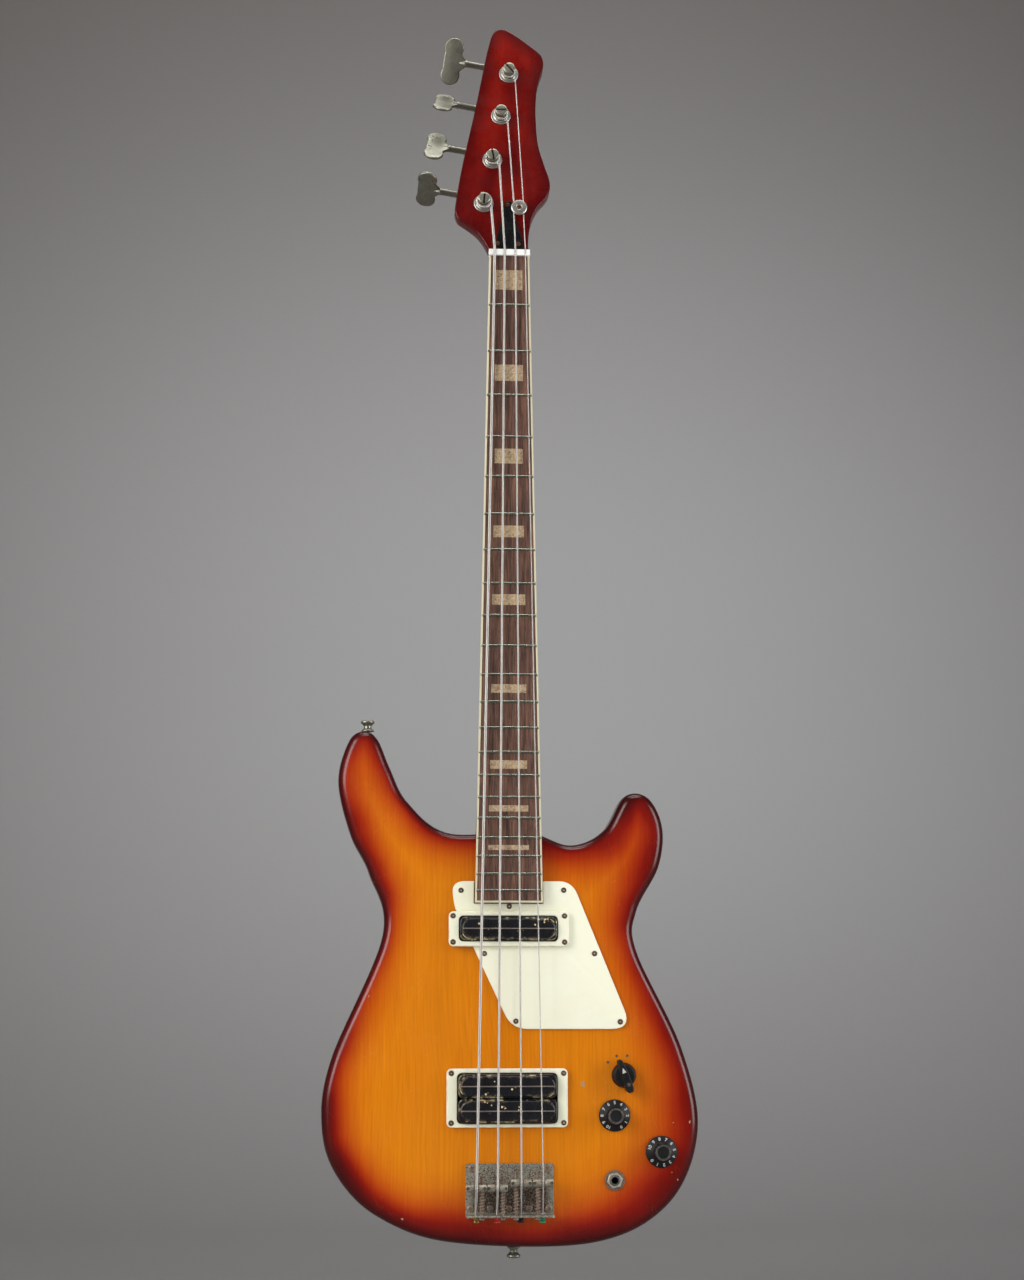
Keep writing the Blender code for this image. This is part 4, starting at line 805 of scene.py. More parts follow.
pearl, tree, shader, coordinates = new_finish("old_pearl", (0.36, 0.26, 0.16), 0.35)
swirl = noise(tree, coordinates, 210.0, 4.0, Roughness=0.6, Distortion=2.6)
milky = ramp(
    tree, swirl,
    [
        (0.3, (0.21, 0.13, 0.07)), (0.48, (0.41, 0.285, 0.165)), (0.6, (0.58, 0.44, 0.28)),
        (0.75, (0.29, 0.18, 0.10)),
    ],
)
dirt = use(tree, wear, "Mask", Vector=coordinates, Radius=0.0008, Gain=6.0, Scale=900.0)
cracks = use(tree, wood, "Pores", Vector=coordinates, Scale=360.0, Stretch=6.0)
wire(
    tree, shader,
    Base_Color=mixed(
        tree, calc(tree, "MAXIMUM", dirt, product(tree, cracks, 0.45)), milky, rgb(0.09, 0.045, 0.025),
    ),
)
shader.inputs["Coat Weight"].default_value = 0.4

fret_metal, tree, shader, coordinates = new_finish("fret_metal", (0.47, 0.49, 0.40), 0.3, 1.0)
dull = use(tree, tarnish, "Blotches", Vector=coordinates, Scale=300.0)
wire(tree, shader, Base_Color=mixed(tree, dull, rgb(0.55, 0.57, 0.48), rgb(0.30, 0.33, 0.25)))
wire(tree, shader, Roughness=remap(tree, dull, 0.0, 1.0, 0.2, 0.42))


# %% [markdown]
# ## Plastics
# Cream plastic ages to a soft yellow-green white, and a brown line of old wax and dirt collects
# round every rim and screw. That line is a mask from the piece's own rounded edge, so it
# follows any outline. On the binding the same line is partly painted shade of its rounded edge.
# One function makes all the cream plastics with their own strengths.

# %% Cream and black plastics
def cream_plastic(name, colour, dirt_and_shade_amount, dirt_and_shade_radius):
    """Aged plastic, darkened round its edges as wide as the radius and as dark as the amount: dirt, and on
    the binding also painted shade of its rounded edge.
    """
    made, tree, shader, coordinates = new_finish(name, colour, 0.36)
    clouds = use(tree, tarnish, "Blotches", Vector=coordinates, Scale=14.0)
    aged = mixed(
        tree, product(tree, clouds, 0.35), rgb(*colour),
        rgb(colour[0] * 0.93, colour[1] * 0.90, colour[2] * 0.78),
    )
    line = use(tree, wear, "Mask", Vector=coordinates, Radius=dirt_and_shade_radius, Gain=9.0, Scale=110.0)
    specked = use(tree, specks, "Mask", Vector=coordinates, Scale=260.0, Size=0.09, Share=0.1)
    dirty_and_shaded = mixed(tree, product(tree, line, dirt_and_shade_amount), aged, rgb(0.20, 0.10, 0.05))
    wire(tree, shader, Base_Color=mixed(tree, product(tree, specked, 0.5), dirty_and_shaded, rgb(0.35, 0.25, 0.14)))
    fine_lines = use(tree, scratches, "Lines", Vector=coordinates, Scale=90.0, Stretch=5.0)
    wire(
        tree, shader,
        Roughness=calc(
            tree, "ADD", remap(tree, clouds, 0.0, 1.0, 0.3, 0.42), product(tree, fine_lines, 0.25),
        ),
    )
    emboss(tree, shader, 0.2, 0.0001, product(tree, fine_lines, -1.0))
    shader.inputs["Coat Weight"].default_value = 0.25
    shader.inputs["Coat Roughness"].default_value = 0.12
    return made


guard_plastic = cream_plastic("guard_plastic", (0.87, 0.86, 0.68), dirt_and_shade_amount=0.8, dirt_and_shade_radius=0.0009)
rim_plastic = cream_plastic("surround_plastic", (0.86, 0.845, 0.66), dirt_and_shade_amount=1.0, dirt_and_shade_radius=0.0013)
# The binding's dark edge line is partly dirt and partly painted shade of its rounded edge.
binding_plastic = cream_plastic("binding_plastic", (0.66, 0.60, 0.42), dirt_and_shade_amount=0.55, dirt_and_shade_radius=0.0004)
nut_plastic = cream_plastic("nut_plastic", (0.84, 0.835, 0.80), dirt_and_shade_amount=0.45, dirt_and_shade_radius=0.0004)


def black_plastic(name, worn_colour, worn_amount, roughness):
    """Black plastic, clouded between two roughnesses and rubbed to the worn colour at its edges."""
    made, tree, shader, coordinates = new_finish(name, (0.012, 0.012, 0.013), 0.35)
    clouds = use(tree, tarnish, "Blotches", Vector=coordinates, Scale=110.0)
    rubbed = use(tree, wear, "Mask", Vector=coordinates, Radius=0.0007, Gain=5.0, Scale=500.0)
    dusty = mixed(tree, product(tree, clouds, 0.4), rgb(0.007, 0.007, 0.008), rgb(0.022, 0.021, 0.019))
    wire(tree, shader, Base_Color=mixed(tree, product(tree, rubbed, worn_amount), dusty, worn_colour))
    wire(tree, shader, Roughness=remap(tree, clouds, 0.0, 1.0, *roughness))
    shader.inputs["Specular IOR Level"].default_value = 0.3
    return made


knob_plastic = black_plastic("knob_plastic", rgb(0.06, 0.055, 0.05), worn_amount=0.6, roughness=(0.42, 0.6))
cover_plastic = black_plastic("cover_plastic", rgb(0.06, 0.05, 0.045), worn_amount=0.6, roughness=(0.2, 0.36))

worn_plastic, tree, shader, coordinates = new_finish("worn_knob_plastic", (0.06, 0.05, 0.045), 0.6)
grime = use(tree, tarnish, "Blotches", Vector=coordinates, Scale=420.0)
wire(tree, shader, Base_Color=mixed(tree, grime, rgb(0.02, 0.018, 0.016), rgb(0.12, 0.10, 0.085)))
wire(tree, shader, Roughness=remap(tree, grime, 0.0, 1.0, 0.4, 0.75))

bobbin, tree, shader, coordinates = new_finish("bobbin_enamel", (0.01, 0.01, 0.012), 0.25)
flaked = use(tree, wear, "Mask", Vector=coordinates, Radius=0.0016, Gain=12.0, Scale=260.0)
spots = use(tree, specks, "Mask", Vector=coordinates, Scale=330.0, Size=0.36, Share=0.28)
where_worn = noise(tree, coordinates, 75.0, 3.0)
patchy = product(
    tree, calc(tree, "MAXIMUM", flaked, product(tree, spots, 0.9)), remap(tree, where_worn, 0.49, 0.53),
    clamp=True,
)
bare = mixed(
    tree, use(tree, tarnish, "Haze", Vector=coordinates, Scale=200.0), rgb(0.72, 0.50, 0.18),
    rgb(0.90, 0.76, 0.48),
)
wire(tree, shader, Base_Color=mixed(tree, patchy, rgb(0.010, 0.010, 0.012), bare))
clouds = use(tree, tarnish, "Blotches", Vector=coordinates, Scale=150.0)
wire(
    tree, shader,
    Roughness=calc(tree, "ADD", remap(tree, clouds, 0.0, 1.0, 0.18, 0.38), product(tree, patchy, 0.25)),
)
emboss(tree, shader, 0.5, 0.0002, product(tree, patchy, -1.0))

white_ink, tree, shader, coordinates = new_finish("white_ink", (0.72, 0.71, 0.67), 0.6)
rubbed = use(tree, tarnish, "Blotches", Vector=coordinates, Scale=800.0)
wire(
    tree, shader,
    Base_Color=mixed(tree, product(tree, rubbed, 0.55), rgb(0.52, 0.51, 0.48), rgb(0.20, 0.19, 0.18)),
)


# %% [markdown]
# ## Metals
# Most of the metal here is nickel-plated steel that has aged in three degrees: the ferrules are
# still bright, the keys and strap buttons are grey-green, and the bridge is pitted with rust.
# One function makes them and the bare metals too, each with its own cloud and its own rust.

# %% Nickel, steel and rust
def nickel(name, bright, dull, rust, roughness, scale=160.0, rust_scale=520.0, metal=1.0):
    """Plating clouded from bright to dull, with a share of rust in pits and blooms. Scales are per metre."""
    made, tree, shader, coordinates = new_finish(name, bright, roughness[0], 1.0)
    clouds = use(tree, tarnish, "Blotches", Vector=coordinates, Scale=scale)
    haze = use(tree, tarnish, "Haze", Vector=coordinates, Scale=scale)
    pits = use(tree, specks, "Mask", Vector=coordinates, Scale=rust_scale, Size=0.62, Share=rust)
    bloom = remap(
        tree, noise(tree, coordinates, rust_scale * 0.16, 6.0, Roughness=0.7), 0.74 - 0.3 * rust,
        0.84 - 0.3 * rust,
    )
    rusted = calc(tree, "MAXIMUM", pits, product(tree, bloom, 0.7 if rust else 0.0), clamp=True)
    plated = mixed(tree, product(tree, clouds, 0.85), rgb(*bright), rgb(*dull))
    hazed = mixed(tree, product(tree, haze, 0.3), plated, rgb(*[0.6 * v for v in dull]))
    wire(tree, shader, Base_Color=mixed(tree, rusted, hazed, rgb(0.115, 0.045, 0.022)))
    wire(tree, shader, Metallic=remap(tree, rusted, 0.0, 1.0, metal, 0.15))
    rough = remap(tree, clouds, 0.0, 1.0, *roughness)
    wire(tree, shader, Roughness=calc(tree, "ADD", rough, product(tree, rusted, 0.3), clamp=True))
    emboss(tree, shader, 0.35, 0.0001, calc(tree, "ADD", product(tree, haze, 0.25), rusted))
    return made


bright_nickel = nickel(
    "bright_nickel", (0.84, 0.82, 0.76), (0.56, 0.55, 0.49), rust=0.0, roughness=(0.36, 0.5),
)
dull_nickel = nickel(
    "dull_nickel", (0.47, 0.465, 0.38), (0.29, 0.29, 0.225), rust=0.06, roughness=(0.4, 0.6), scale=90.0,
)
post_nickel = nickel(
    "post_nickel", (0.56, 0.545, 0.44), (0.36, 0.345, 0.27), rust=0.05, roughness=(0.4, 0.55),
    scale=220.0,
)
plate_nickel = nickel(
    "plate_nickel", (0.52, 0.51, 0.42), (0.38, 0.37, 0.295), rust=0.5, roughness=(0.40, 0.62),
    scale=120.0, rust_scale=1150.0, metal=0.7,
)
rusty_steel = nickel(
    "rusty_steel", (0.36, 0.30, 0.24), (0.22, 0.15, 0.11), rust=0.6, roughness=(0.42, 0.66), scale=500.0,
    rust_scale=1500.0, metal=0.7,
)
barrel_nickel = nickel(
    "barrel_nickel", (0.60, 0.58, 0.48), (0.42, 0.40, 0.32), rust=0.3, roughness=(0.46, 0.6), scale=220.0,
    rust_scale=1300.0, metal=0.85,
)
jack_nickel = nickel(
    "jack_nickel", (0.86, 0.80, 0.64), (0.60, 0.54, 0.42), rust=0.05, roughness=(0.36, 0.5), scale=300.0,
    rust_scale=520.0, metal=0.75,
)
spring_steel = nickel(
    "spring_steel", (0.52, 0.43, 0.34), (0.32, 0.22, 0.16), rust=0.4, roughness=(0.4, 0.6), scale=500.0,
    rust_scale=1500.0, metal=0.7,
)
tin_plate = nickel("tin_plate", (0.55, 0.55, 0.54), (0.36, 0.36, 0.35), rust=0.05, roughness=(0.3, 0.5))
brass = nickel(
    "worn_brass", (0.62, 0.47, 0.22), (0.33, 0.25, 0.13), rust=0.1, roughness=(0.28, 0.5), scale=400.0,
)
brown_screw = nickel(
    "brown_screw", (0.24, 0.14, 0.11), (0.11, 0.055, 0.04), rust=0.45, roughness=(0.5, 0.7), scale=600.0,
    rust_scale=1800.0,
)

# %% The bridge plate is dark brown behind the barrels, partly rust and partly painted shade of the barrels, and speckled with rust in front of them
tree = plate_nickel.node_tree
shader = tree.nodes["Principled BSDF"]
plated = shader.inputs["Base Color"].links[0].from_socket
coordinates = add(tree, "ShaderNodeTexCoord").outputs["Object"]
place = add(tree, "ShaderNodeSeparateXYZ", {0: coordinates}).outputs
behind = product(tree, remap(tree, place["Z"], -0.8705, -0.8765), remap(tree, place["Z"], -0.8975, -0.8945))
between = product(tree, remap(tree, place["X"], -0.036, -0.029), remap(tree, place["X"], 0.039, 0.034))
grainy = noise(tree, coordinates, 800.0, 4.0, Roughness=0.8)
# Dark brown behind the barrels: rust, and painted shade where the barrels shade the plate.
rust_and_barrel_shade = product(tree, product(tree, behind, between), remap(tree, grainy, 0.34, 0.54))
thin = product(
    tree, product(tree, remap(tree, place["Z"], -0.851, -0.858), between),
    remap(tree, grainy, 0.53, 0.57),
)
wire(
    tree, shader,
    Base_Color=mixed(tree, calc(tree, "MAXIMUM", rust_and_barrel_shade, thin), plated, rgb(0.055, 0.022, 0.014)),
)

# %% Wound steel, lacquered string ends and dark hollows
string_steel, tree, shader, coordinates = new_finish("wound_string", (0.75, 0.73, 0.69), 0.35, 0.75)
run = add(tree, "ShaderNodeAttribute", attribute_name="run").outputs["Fac"]
pitch = add(tree, "ShaderNodeAttribute", attribute_name="pitch").outputs["Fac"]
wraps = calc(
    tree, "SINE",
    product(tree, calc(tree, "DIVIDE", run, calc(tree, "MAXIMUM", pitch, 0.0001)), 2 * math.pi),
)
# The groove between wraps is painted darker: painted shade in the winding's grooves.
groove_shade = remap(tree, wraps, -1.0, 0.2)
finger_dirt = use(tree, tarnish, "Haze", Vector=coordinates, Scale=60.0)
plain = mixed(tree, product(tree, finger_dirt, 0.3), rgb(0.78, 0.76, 0.72), rgb(0.55, 0.51, 0.45))
wire(tree, shader, Base_Color=mixed(tree, groove_shade, rgb(0.38, 0.35, 0.31), plain))
wire(tree, shader, Roughness=remap(tree, groove_shade, 0.0, 1.0, 0.5, 0.34))
emboss(tree, shader, 0.35, 0.0001, wraps)


def ball_colour(name, colour, metallic=0.0):
    """A lacquered string end whose colour is chipped off to the brass."""
    made, tree, shader, coordinates = new_finish(name, colour, 0.35, metallic)
    chipped = use(tree, specks, "Mask", Vector=coordinates, Scale=900.0, Size=0.5, Share=0.25)
    wire(tree, shader, Base_Color=mixed(tree, chipped, rgb(*colour), rgb(0.35, 0.26, 0.13)))
    wire(tree, shader, Roughness=remap(tree, chipped, 0.0, 1.0, 0.3, 0.5))
    return made


BALLS = {
    "e": ball_colour("gold_ball", (0.62, 0.45, 0.16), 1.0), "a": ball_colour("red_ball", (0.55, 0.01, 0.02)),
    "d": ball_colour("black_ball", (0.015, 0.015, 0.016)), "g": ball_colour("green_ball", (0.0, 0.26, 0.13)),
}

# Near-black for the body's hollows; the tuner posts also use it as painted shade at the bottom of their
# slots.
dark_hollow, tree, shader, coordinates = new_finish("dark_hollow", (0.02, 0.014, 0.01), 0.9)
dusty = use(tree, tarnish, "Haze", Vector=coordinates, Scale=50.0)
wire(tree, shader, Base_Color=mixed(tree, dusty, rgb(0.012, 0.008, 0.006), rgb(0.03, 0.02, 0.014)))
print("finishes:", len(bpy.data.materials))

# %% [markdown]
# ## The body
# A plank of wood with a rounded rim. Its outline is one smooth closed curve through 28 points,
# and the rim is the same outline moved inwards ring by ring while it rises, a quarter circle in
# section. The flat faces are split into small triangles, because the sunburst needs a value at
# every point: how far that point lies from the edge, divided by how wide the spray is there.

# %% Outline and spray
BODY_POINTS = [
    (-135, -458.2), (-149, -468), (-158.4, -506), (-146.6, -555), (-129, -591), (-116, -648), (-162, -760),
    (-170, -819), (-156, -864), (-118, -901), (-50, -924), (77, -925), (147, -891), (175, -826),
    (161, -751), (119.7, -662), (120, -625), (141, -584), (145, -547), (131.6, -519.3), (109.6, -518.3),
    (89.5, -550.5), (58, -564), (16, -551.5), (-56, -553), (-94, -524.3), (-110.4, -493), (-122.2, -466),
]
SPRAYED = np.array([
    (-136, -459, 0.37, 22.5), (-155, -500, 0.83, 44), (-146, -555, 0.44, 29), (-129, -591, 0.21, 17),
    (-116, -648, 0.48, 14), (-140, -700, 0.74, 21), (-162, -760, 0.23, 15), (-169, -819, -0.05, 16),
    (-156, -864, -0.16, 20), (-118, -901, -0.04, 17), (-50, -924, 0.13, 30), (20, -928, 0.19, 23),
    (77, -925, 0.02, 26), (147, -891, 0.23, 50), (175, -826, 0.38, 41), (161, -751, 0.32, 24),
    (119, -662, 0.45, 22), (120, -625, 0.25, 22), (141, -584, 0.37, 52), (144, -547, 0.44, 35),
    (131, -520, 0.27, 25), (111, -520, 0.03, 30), (90, -551, 0.49, 53), (58, -566, 0.48, 23),
    (16, -552, 0.14, 23), (-56, -554, 0.46, 18), (-95, -525, 0.51, 17), (-125, -465, 0.37, 23.5),
])
BODY_DEPTH, BODY_ROUND = 40 * MM, 10 * MM
body_outline = flow(np.array(BODY_POINTS) * MM, 16)


def edge_distance(points, loop, closed=True):
    """The least distance to a loop's segments: |p - a - t (b - a)| with t = (p - a).(b - a) / |b - a|^2
    held in 0..1."""
    a = loop if closed else loop[:-1]
    side = (np.roll(loop, -1, 0) if closed else loop[1:]) - a
    least = []
    for part in np.array_split(points, len(points) // 2000 + 1):
        offset = part[:, None] - a
        t = np.clip(np.sum(offset * side, 2) / np.sum(side * side, 1), 0, 1)
        least.append(np.sqrt(np.sum((offset - t[..., None] * side) ** 2, 2)).min(1))
    return np.concatenate(least)


def spray(points):
    """start f + distance / width, both means of measured values weighted by 1 / gap^3. f fades the start
    out at the rim."""
    gap = np.linalg.norm(points[:, None] - SPRAYED[None, :, :2] * MM, axis=2) + 1 * MM
    weight = 1 / gap**3 / np.sum(1 / gap**3, 1)[:, None]
    distance = edge_distance(points, body_outline) / MM
    fade = np.clip((distance - 1) / 6.5, 0, 1)
    return weight @ SPRAYED[:, 2] * fade + weight @ (1 / SPRAYED[:, 3]) * distance


def fill_points(loops, spacing, margin):
    """A staggered grid inside the loops, with none nearer to an edge than the margin."""
    low, high = loops[0].min(0), loops[0].max(0)
    x, y = np.meshgrid(np.arange(low[0], high[0], spacing), np.arange(low[1], high[1], spacing))
    x[1::2] += spacing / 2
    points = np.column_stack([x.ravel(), y.ravel()])
    points = points[within(points, loops)]
    return points[np.min([edge_distance(points, loop) for loop in loops], 0) > margin]


# %% Rim, faces and the hollows under the fittings
NECK_WELL = rectangle(-46.5 * MM, 46 * MM, -654.5 * MM, -628.8 * MM, 3 * MM)
BRIDGE_WELL = rectangle(-47.5 * MM, 45.5 * MM, -819 * MM, -771.3 * MM, 3 * MM)
CONTROL_POINTS = [
    (79, -820), (88, -885), (118, -884), (150, -860), (152, -830), (133, -793), (118, -757), (84, -760),
]
CONTROLS = flow(np.array(CONTROL_POINTS) * MM, 8)
SWITCH_AT, VOLUME_AT, TONE_AT, JACK_AT = (106, -774.7), (97.2, -810.9), (140, -843.5), (97.1, -868.8)
bores = [
    circle(x * MM, y * MM, r * MM)
    for (x, y), r in ((SWITCH_AT, 4.5), (VOLUME_AT, 4.5), (TONE_AT, 4.5), (JACK_AT, 4.9))
]
WELL_FLOOR, ROOF, COVER_SEAT = -18 * MM, -6 * MM, -37.5 * MM
cover_rebate = inward(CONTROLS, -4.5 * MM)
face_edge = inward(body_outline, BODY_ROUND)
front_loops = [face_edge, NECK_WELL, BRIDGE_WELL, *bores]
back_loops = [face_edge, cover_rebate]
body_shells = [
    rim(body_outline, -BODY_DEPTH, 0, BODY_ROUND, 9),
    cap(front_loops, 0, fill_points(front_loops, 3.2 * MM, 1.2 * MM)),
    cap(back_loops, -BODY_DEPTH, fill_points(back_loops, 3.2 * MM, 1.2 * MM)),
]
wells = (NECK_WELL, BRIDGE_WELL)
hollows = [wall(well, WELL_FLOOR, 0) for well in wells] + [cap([well], WELL_FLOOR) for well in wells]
hollows += [wall(bore, ROOF, 0) for bore in bores]
hollows += [cap([CONTROLS, *bores], ROOF), wall(CONTROLS, COVER_SEAT, ROOF)]
hollows += [cap([cover_rebate, CONTROLS], COVER_SEAT), wall(cover_rebate, -BODY_DEPTH, COVER_SEAT)]
body_shells += [{**hollow, "paint": 1} for hollow in hollows]
for made in body_shells:
    made["marks"]["burst"] = spray(made["points"][:, :2])
body_shells = [moved(made, FACE) for made in body_shells]
body = piece("body_wood", body_shells, [sunburst, dark_hollow], "body")
print(
    "body:", len(body.data.polygons), "faces, burst up to",
    round(float(body_shells[1]["marks"]["burst"].max()), 1),
)

# %% [markdown]
# ## Small marks on the face
# Three little studs show where the selector points, and years of use left a chip by the bridge
# pickup and pale nicks near the edge. Each is a very thin disc laid on the lacquer. The studs
# are round, and the others are circles whose radius wavers with a few sine waves.

# %% Studs, chip and nicks
def blot(x, y, radius, thickness, seed, ragged=0.25, stretch=1.0, steps=26):
    """A thin disc with radius r (1 + ragged sum of sines), stretched along y. With seed 0 it is round."""
    angle = np.linspace(0, 2 * np.pi, steps, endpoint=False)
    phases = np.random.default_rng(seed).uniform(0, 2 * np.pi, 4)
    waver = 1 + ragged * sum(np.sin((k + 2) * angle + phase) / (k + 2) for k, phase in enumerate(phases))
    outline = np.column_stack(
        [x + radius * waver * np.cos(angle), y + radius * waver * stretch * np.sin(angle)]
    )
    if not seed:
        outline = circle(x, y, radius, steps)
    return [moved(made, FACE) for made in slab(outline, -0.2 * MM, thickness, 0.03 * MM, 1)]


stud_grey, tree, shader, coordinates = new_finish("stud_grey", (0.09, 0.08, 0.065), 0.5)
wire(
    tree, shader,
    Base_Color=mixed(
        tree, use(tree, tarnish, "Blotches", Vector=coordinates, Scale=900.0), rgb(0.12, 0.11, 0.09),
        rgb(0.05, 0.035, 0.025),
    ),
)
bare_wood, tree, shader, coordinates = new_finish("bare_wood", (0.36, 0.24, 0.14), 0.75)
wire(
    tree, shader,
    Base_Color=mixed(
        tree, use(tree, wood, "Streaks", Vector=coordinates, Scale=900.0, Stretch=8.0),
        rgb(0.24, 0.13, 0.06), rgb(0.52, 0.40, 0.26),
    ),
)
studs = [
    made
    for x, y in ((91.5, -763.1), (99.6, -757.4), (109.4, -757.2))
    for made in blot(x * MM, y * MM, 1.25 * MM, 0.12 * MM, 0)
]
piece("selector_studs", studs, [stud_grey])
NICKS = (
    (151.2, -817.5, 0.5, 3), (149.6, -862, 0.35, 4), (166.5, -817, 0.8, 5), (154.8, -868.5, 0.5, 6),
    (68.5, -782.6, 1.8, 7), (-96, -902, 0.8, 8), (-128, -703, 0.6, 9),
)
piece(
    "bare_nicks",
    [made for x, y, r, seed in NICKS for made in blot(x * MM, y * MM, r * MM, 0.05 * MM, seed, 0.5, 1.3)],
    [bare_wood],
)

# %% [markdown]
# ## Neck and headstock
# The neck is a skin over cross-sections: a flat top and a round back, which turns square at the
# heel that is bolted into the body. A superellipse makes both with one exponent. The headstock is
# a plate with a rounded rim, leaning back by 7 degrees, and its points know how far they are from
# the edge, because the red is darker there.

# %% Neck
BOARD_LENGTH, SCALE_LENGTH, BOARD_DEPTH = 618 * MM, 863.6 * MM, 6 * MM
NUT_WIDTH, BOARD_END_WIDTH = 38.6, 62.8


def half_width(along):
    """Half the board's width at a distance from the nut."""
    return (NUT_WIDTH * MM + (BOARD_END_WIDTH - NUT_WIDTH) * MM * along / BOARD_LENGTH) / 2


def neck_section(z, half, top, back, squareness, steps=28):
    """x = half |cos a|^s, y = top + (back - top) |sin a|^s, for a from 0 to 180 degrees."""
    angle = np.linspace(0, np.pi, steps)
    x = half * np.sign(np.cos(angle)) * np.abs(np.cos(angle)) ** squareness
    return np.column_stack([x, top + (back - top) * np.abs(np.sin(angle)) ** squareness, np.full(steps, z)])


STATIONS = np.array([
    (618, 27.7, 0.12), (585, 27.7, 0.13), (553, 27.7, 0.14), (541, 27.1, 0.35), (528, 25.3, 0.6),
    (510, 24.3, 0.78), (440, 23.9, 0.78), (370, 23.5, 0.78), (300, 23.1, 0.78), (200, 22.4, 0.78),
    (110, 21.8, 0.78), (30, 21.3, 0.78), (0, 21.3, 0.78),
])
along, back, squareness = flow(STATIONS, 4, closed=False).T
neck_top = 6.05 * MM
rings = [
    neck_section(-a * MM, half_width(a * MM), neck_top, b * MM, s)
    for a, b, s in zip(along, back, squareness)
]
rings.append(neck_section(HEAD_START, 19.6 * MM, neck_top, 21.3 * MM, 0.78))
rings.append(neck_section(HEAD_START + 16 * MM, 15.3 * MM, 10.3 * MM, 19 * MM, 0.78))
neck_shells = [skin(np.array(rings), rim=0.009)]

# %% Headstock
HEAD_POINTS = [
    (18.4, 0), (18.7, 11), (19.8, 21.9), (21.9, 32.6), (25.5, 41.8), (30.5, 50.3), (35.4, 55.8), (39, 61.9),
    (40.5, 69.7), (39.9, 77.3), (37.1, 86.5), (33.8, 97.2), (30.4, 109.5), (28.4, 121.8), (27.5, 137.4),
    (27.2, 153.3), (28.3, 170.9), (29.9, 180.9), (32, 188.7), (34.4, 196), (35.4, 203.2), (34.6, 209.8),
    (31.8, 215), (26.9, 220), (20.4, 225.2), (12.5, 231.7), (4.6, 237.1), (-1.3, 240.3), (-5.8, 241.3),
    (-9.8, 240.4), (-13.3, 237.4), (-15.8, 232.3), (-17.8, 225), (-20.9, 211.6), (-25.4, 188.2),
    (-31.4, 156.1), (-38.8, 120.1), (-43.7, 96.8), (-47.9, 73.7), (-52, 46), (-51.6, 38.4), (-49.3, 33.2),
    (-44.5, 29.6), (-36.3, 23.6), (-29.4, 17), (-23.9, 8.9), (-19.6, 0),
]
head_outline = flow(np.array(HEAD_POINTS) * MM, 4, closed=False)
head_face = inward(head_outline, 1.6 * MM)
head_shells = [rim(head_outline, -14 * MM, 0, 1.6 * MM, 6)]
head_shells += [
    cap([head_face], height, fill_points([head_face], 2.6 * MM, 1 * MM))
    for height in (0, -14 * MM)
]
for made in head_shells:
    made["marks"]["rim"] = edge_distance(made["points"][:, :2], head_outline, closed=False)
neck_shells += [moved(made, HEAD) for made in head_shells]
neck = piece("neck_wood", neck_shells, [red_lacquer], "neck")
print("neck and headstock:", len(neck.data.polygons), "faces")

# %% [markdown]
# ## Fretboard
# A rosewood board, slightly crowned across: its height is x^2 / 2R. The frets stand at
# L (1 - 2^(-n/12)) from the nut, the rule that gives every fret the same musical step. All frets
# are one array: the same half-round section, moved to each place and as wide as the board there.

# %% Board, frets and pearl blocks
CROWN = 240 * MM


def crown(x):
    """How far the board falls from its middle: x^2 / 2R."""
    return x**2 / (2 * CROWN)


inset = 2.1 * MM
board_along = np.linspace(0, BOARD_LENGTH - inset, 60)
across = np.linspace(-1, 1, 15)[None] * (half_width(board_along) - inset)[:, None]
top_grid = np.stack([across, crown(across), np.broadcast_to(-board_along[:, None], across.shape)], -1)
under = top_grid[:, [-1, 0]] * (1, 0, 1) + (0, BOARD_DEPTH, 0)
board_shells = [skin(np.concatenate([top_grid, under], 1))]


def fret_shell(number, half, height=1.1 * MM, wide=1.2 * MM):
    """Sections along x of a half-round ridge: z = z0 + w cos a, y = crown - h sin a, lower and narrower
    at the two ends."""
    x = half * np.array([-1, -0.995, -0.985, *np.linspace(-0.95, 0.95, 13), 0.985, 0.995, 1])
    swell = np.array([0.3, 0.75, 0.95] + [1] * 13 + [0.95, 0.75, 0.3])[:, None]
    a = np.linspace(0, np.pi, 9)[None]
    y = crown(x)[:, None] - height * swell * np.sin(a) + 0.25 * MM * (np.sin(a) < 0.01)
    z = -SCALE_LENGTH * (1 - 2 ** (-number / 12)) + wide * np.cos(a) * (0.6 + 0.4 * swell)
    return skin(np.stack([np.broadcast_to(x[:, None], z.shape), y, z], -1))


for number in range(1, 22):
    place = SCALE_LENGTH * (1 - 2 ** (-number / 12))
    board_shells.append({**fret_shell(number, half_width(place) - 0.55 * MM), "paint": 1})

INLAYS = [
    (-14, -33.5, 26.1), (-107.7, -123.6, 27.1), (-189.9, -204.3, 26.9), (-264.3, -275.6, 28.9),
    (-330.1, -340.3, 31.1), (-415.4, -423.5, 32.8), (-486.6, -494.6, 34.4), (-528.5, -534.3, 36.6),
    (-565.2, -569.8, 37.6),
]
for top, bottom, wide in INLAYS:
    x = np.linspace(-wide / 2, wide / 2, 13)[:, None] * MM - 0.5 * MM
    lift = np.array([0.02, 0.05] + [0.05] * 9 + [0.05, 0.02])[:, None] * MM
    z = np.array([[bottom, bottom + 0.3, top - 0.3, top, top, bottom]]) * MM + 0 * x
    y = crown(x) - lift * np.array([[0.3, 1, 1, 0.3, -9, -9]])
    board_shells.append({**skin(np.stack([x + 0 * z, y, z], -1)), "paint": 2})
board = piece("rosewood_board", board_shells, [rosewood, fret_metal, pearl], "fretboard")
print("board:", len(board.data.polygons), "faces, last fret at", round(place / MM, 1), "mm")

# %% [markdown]
# ## Binding and nut
# A thin cream strip runs down both sides of the board and round its end. It is a small profile
# carried along a path, with its outer top edge rounded. The nut is a white bar with four slots,
# cut by four cylinders a little thicker than the strings.

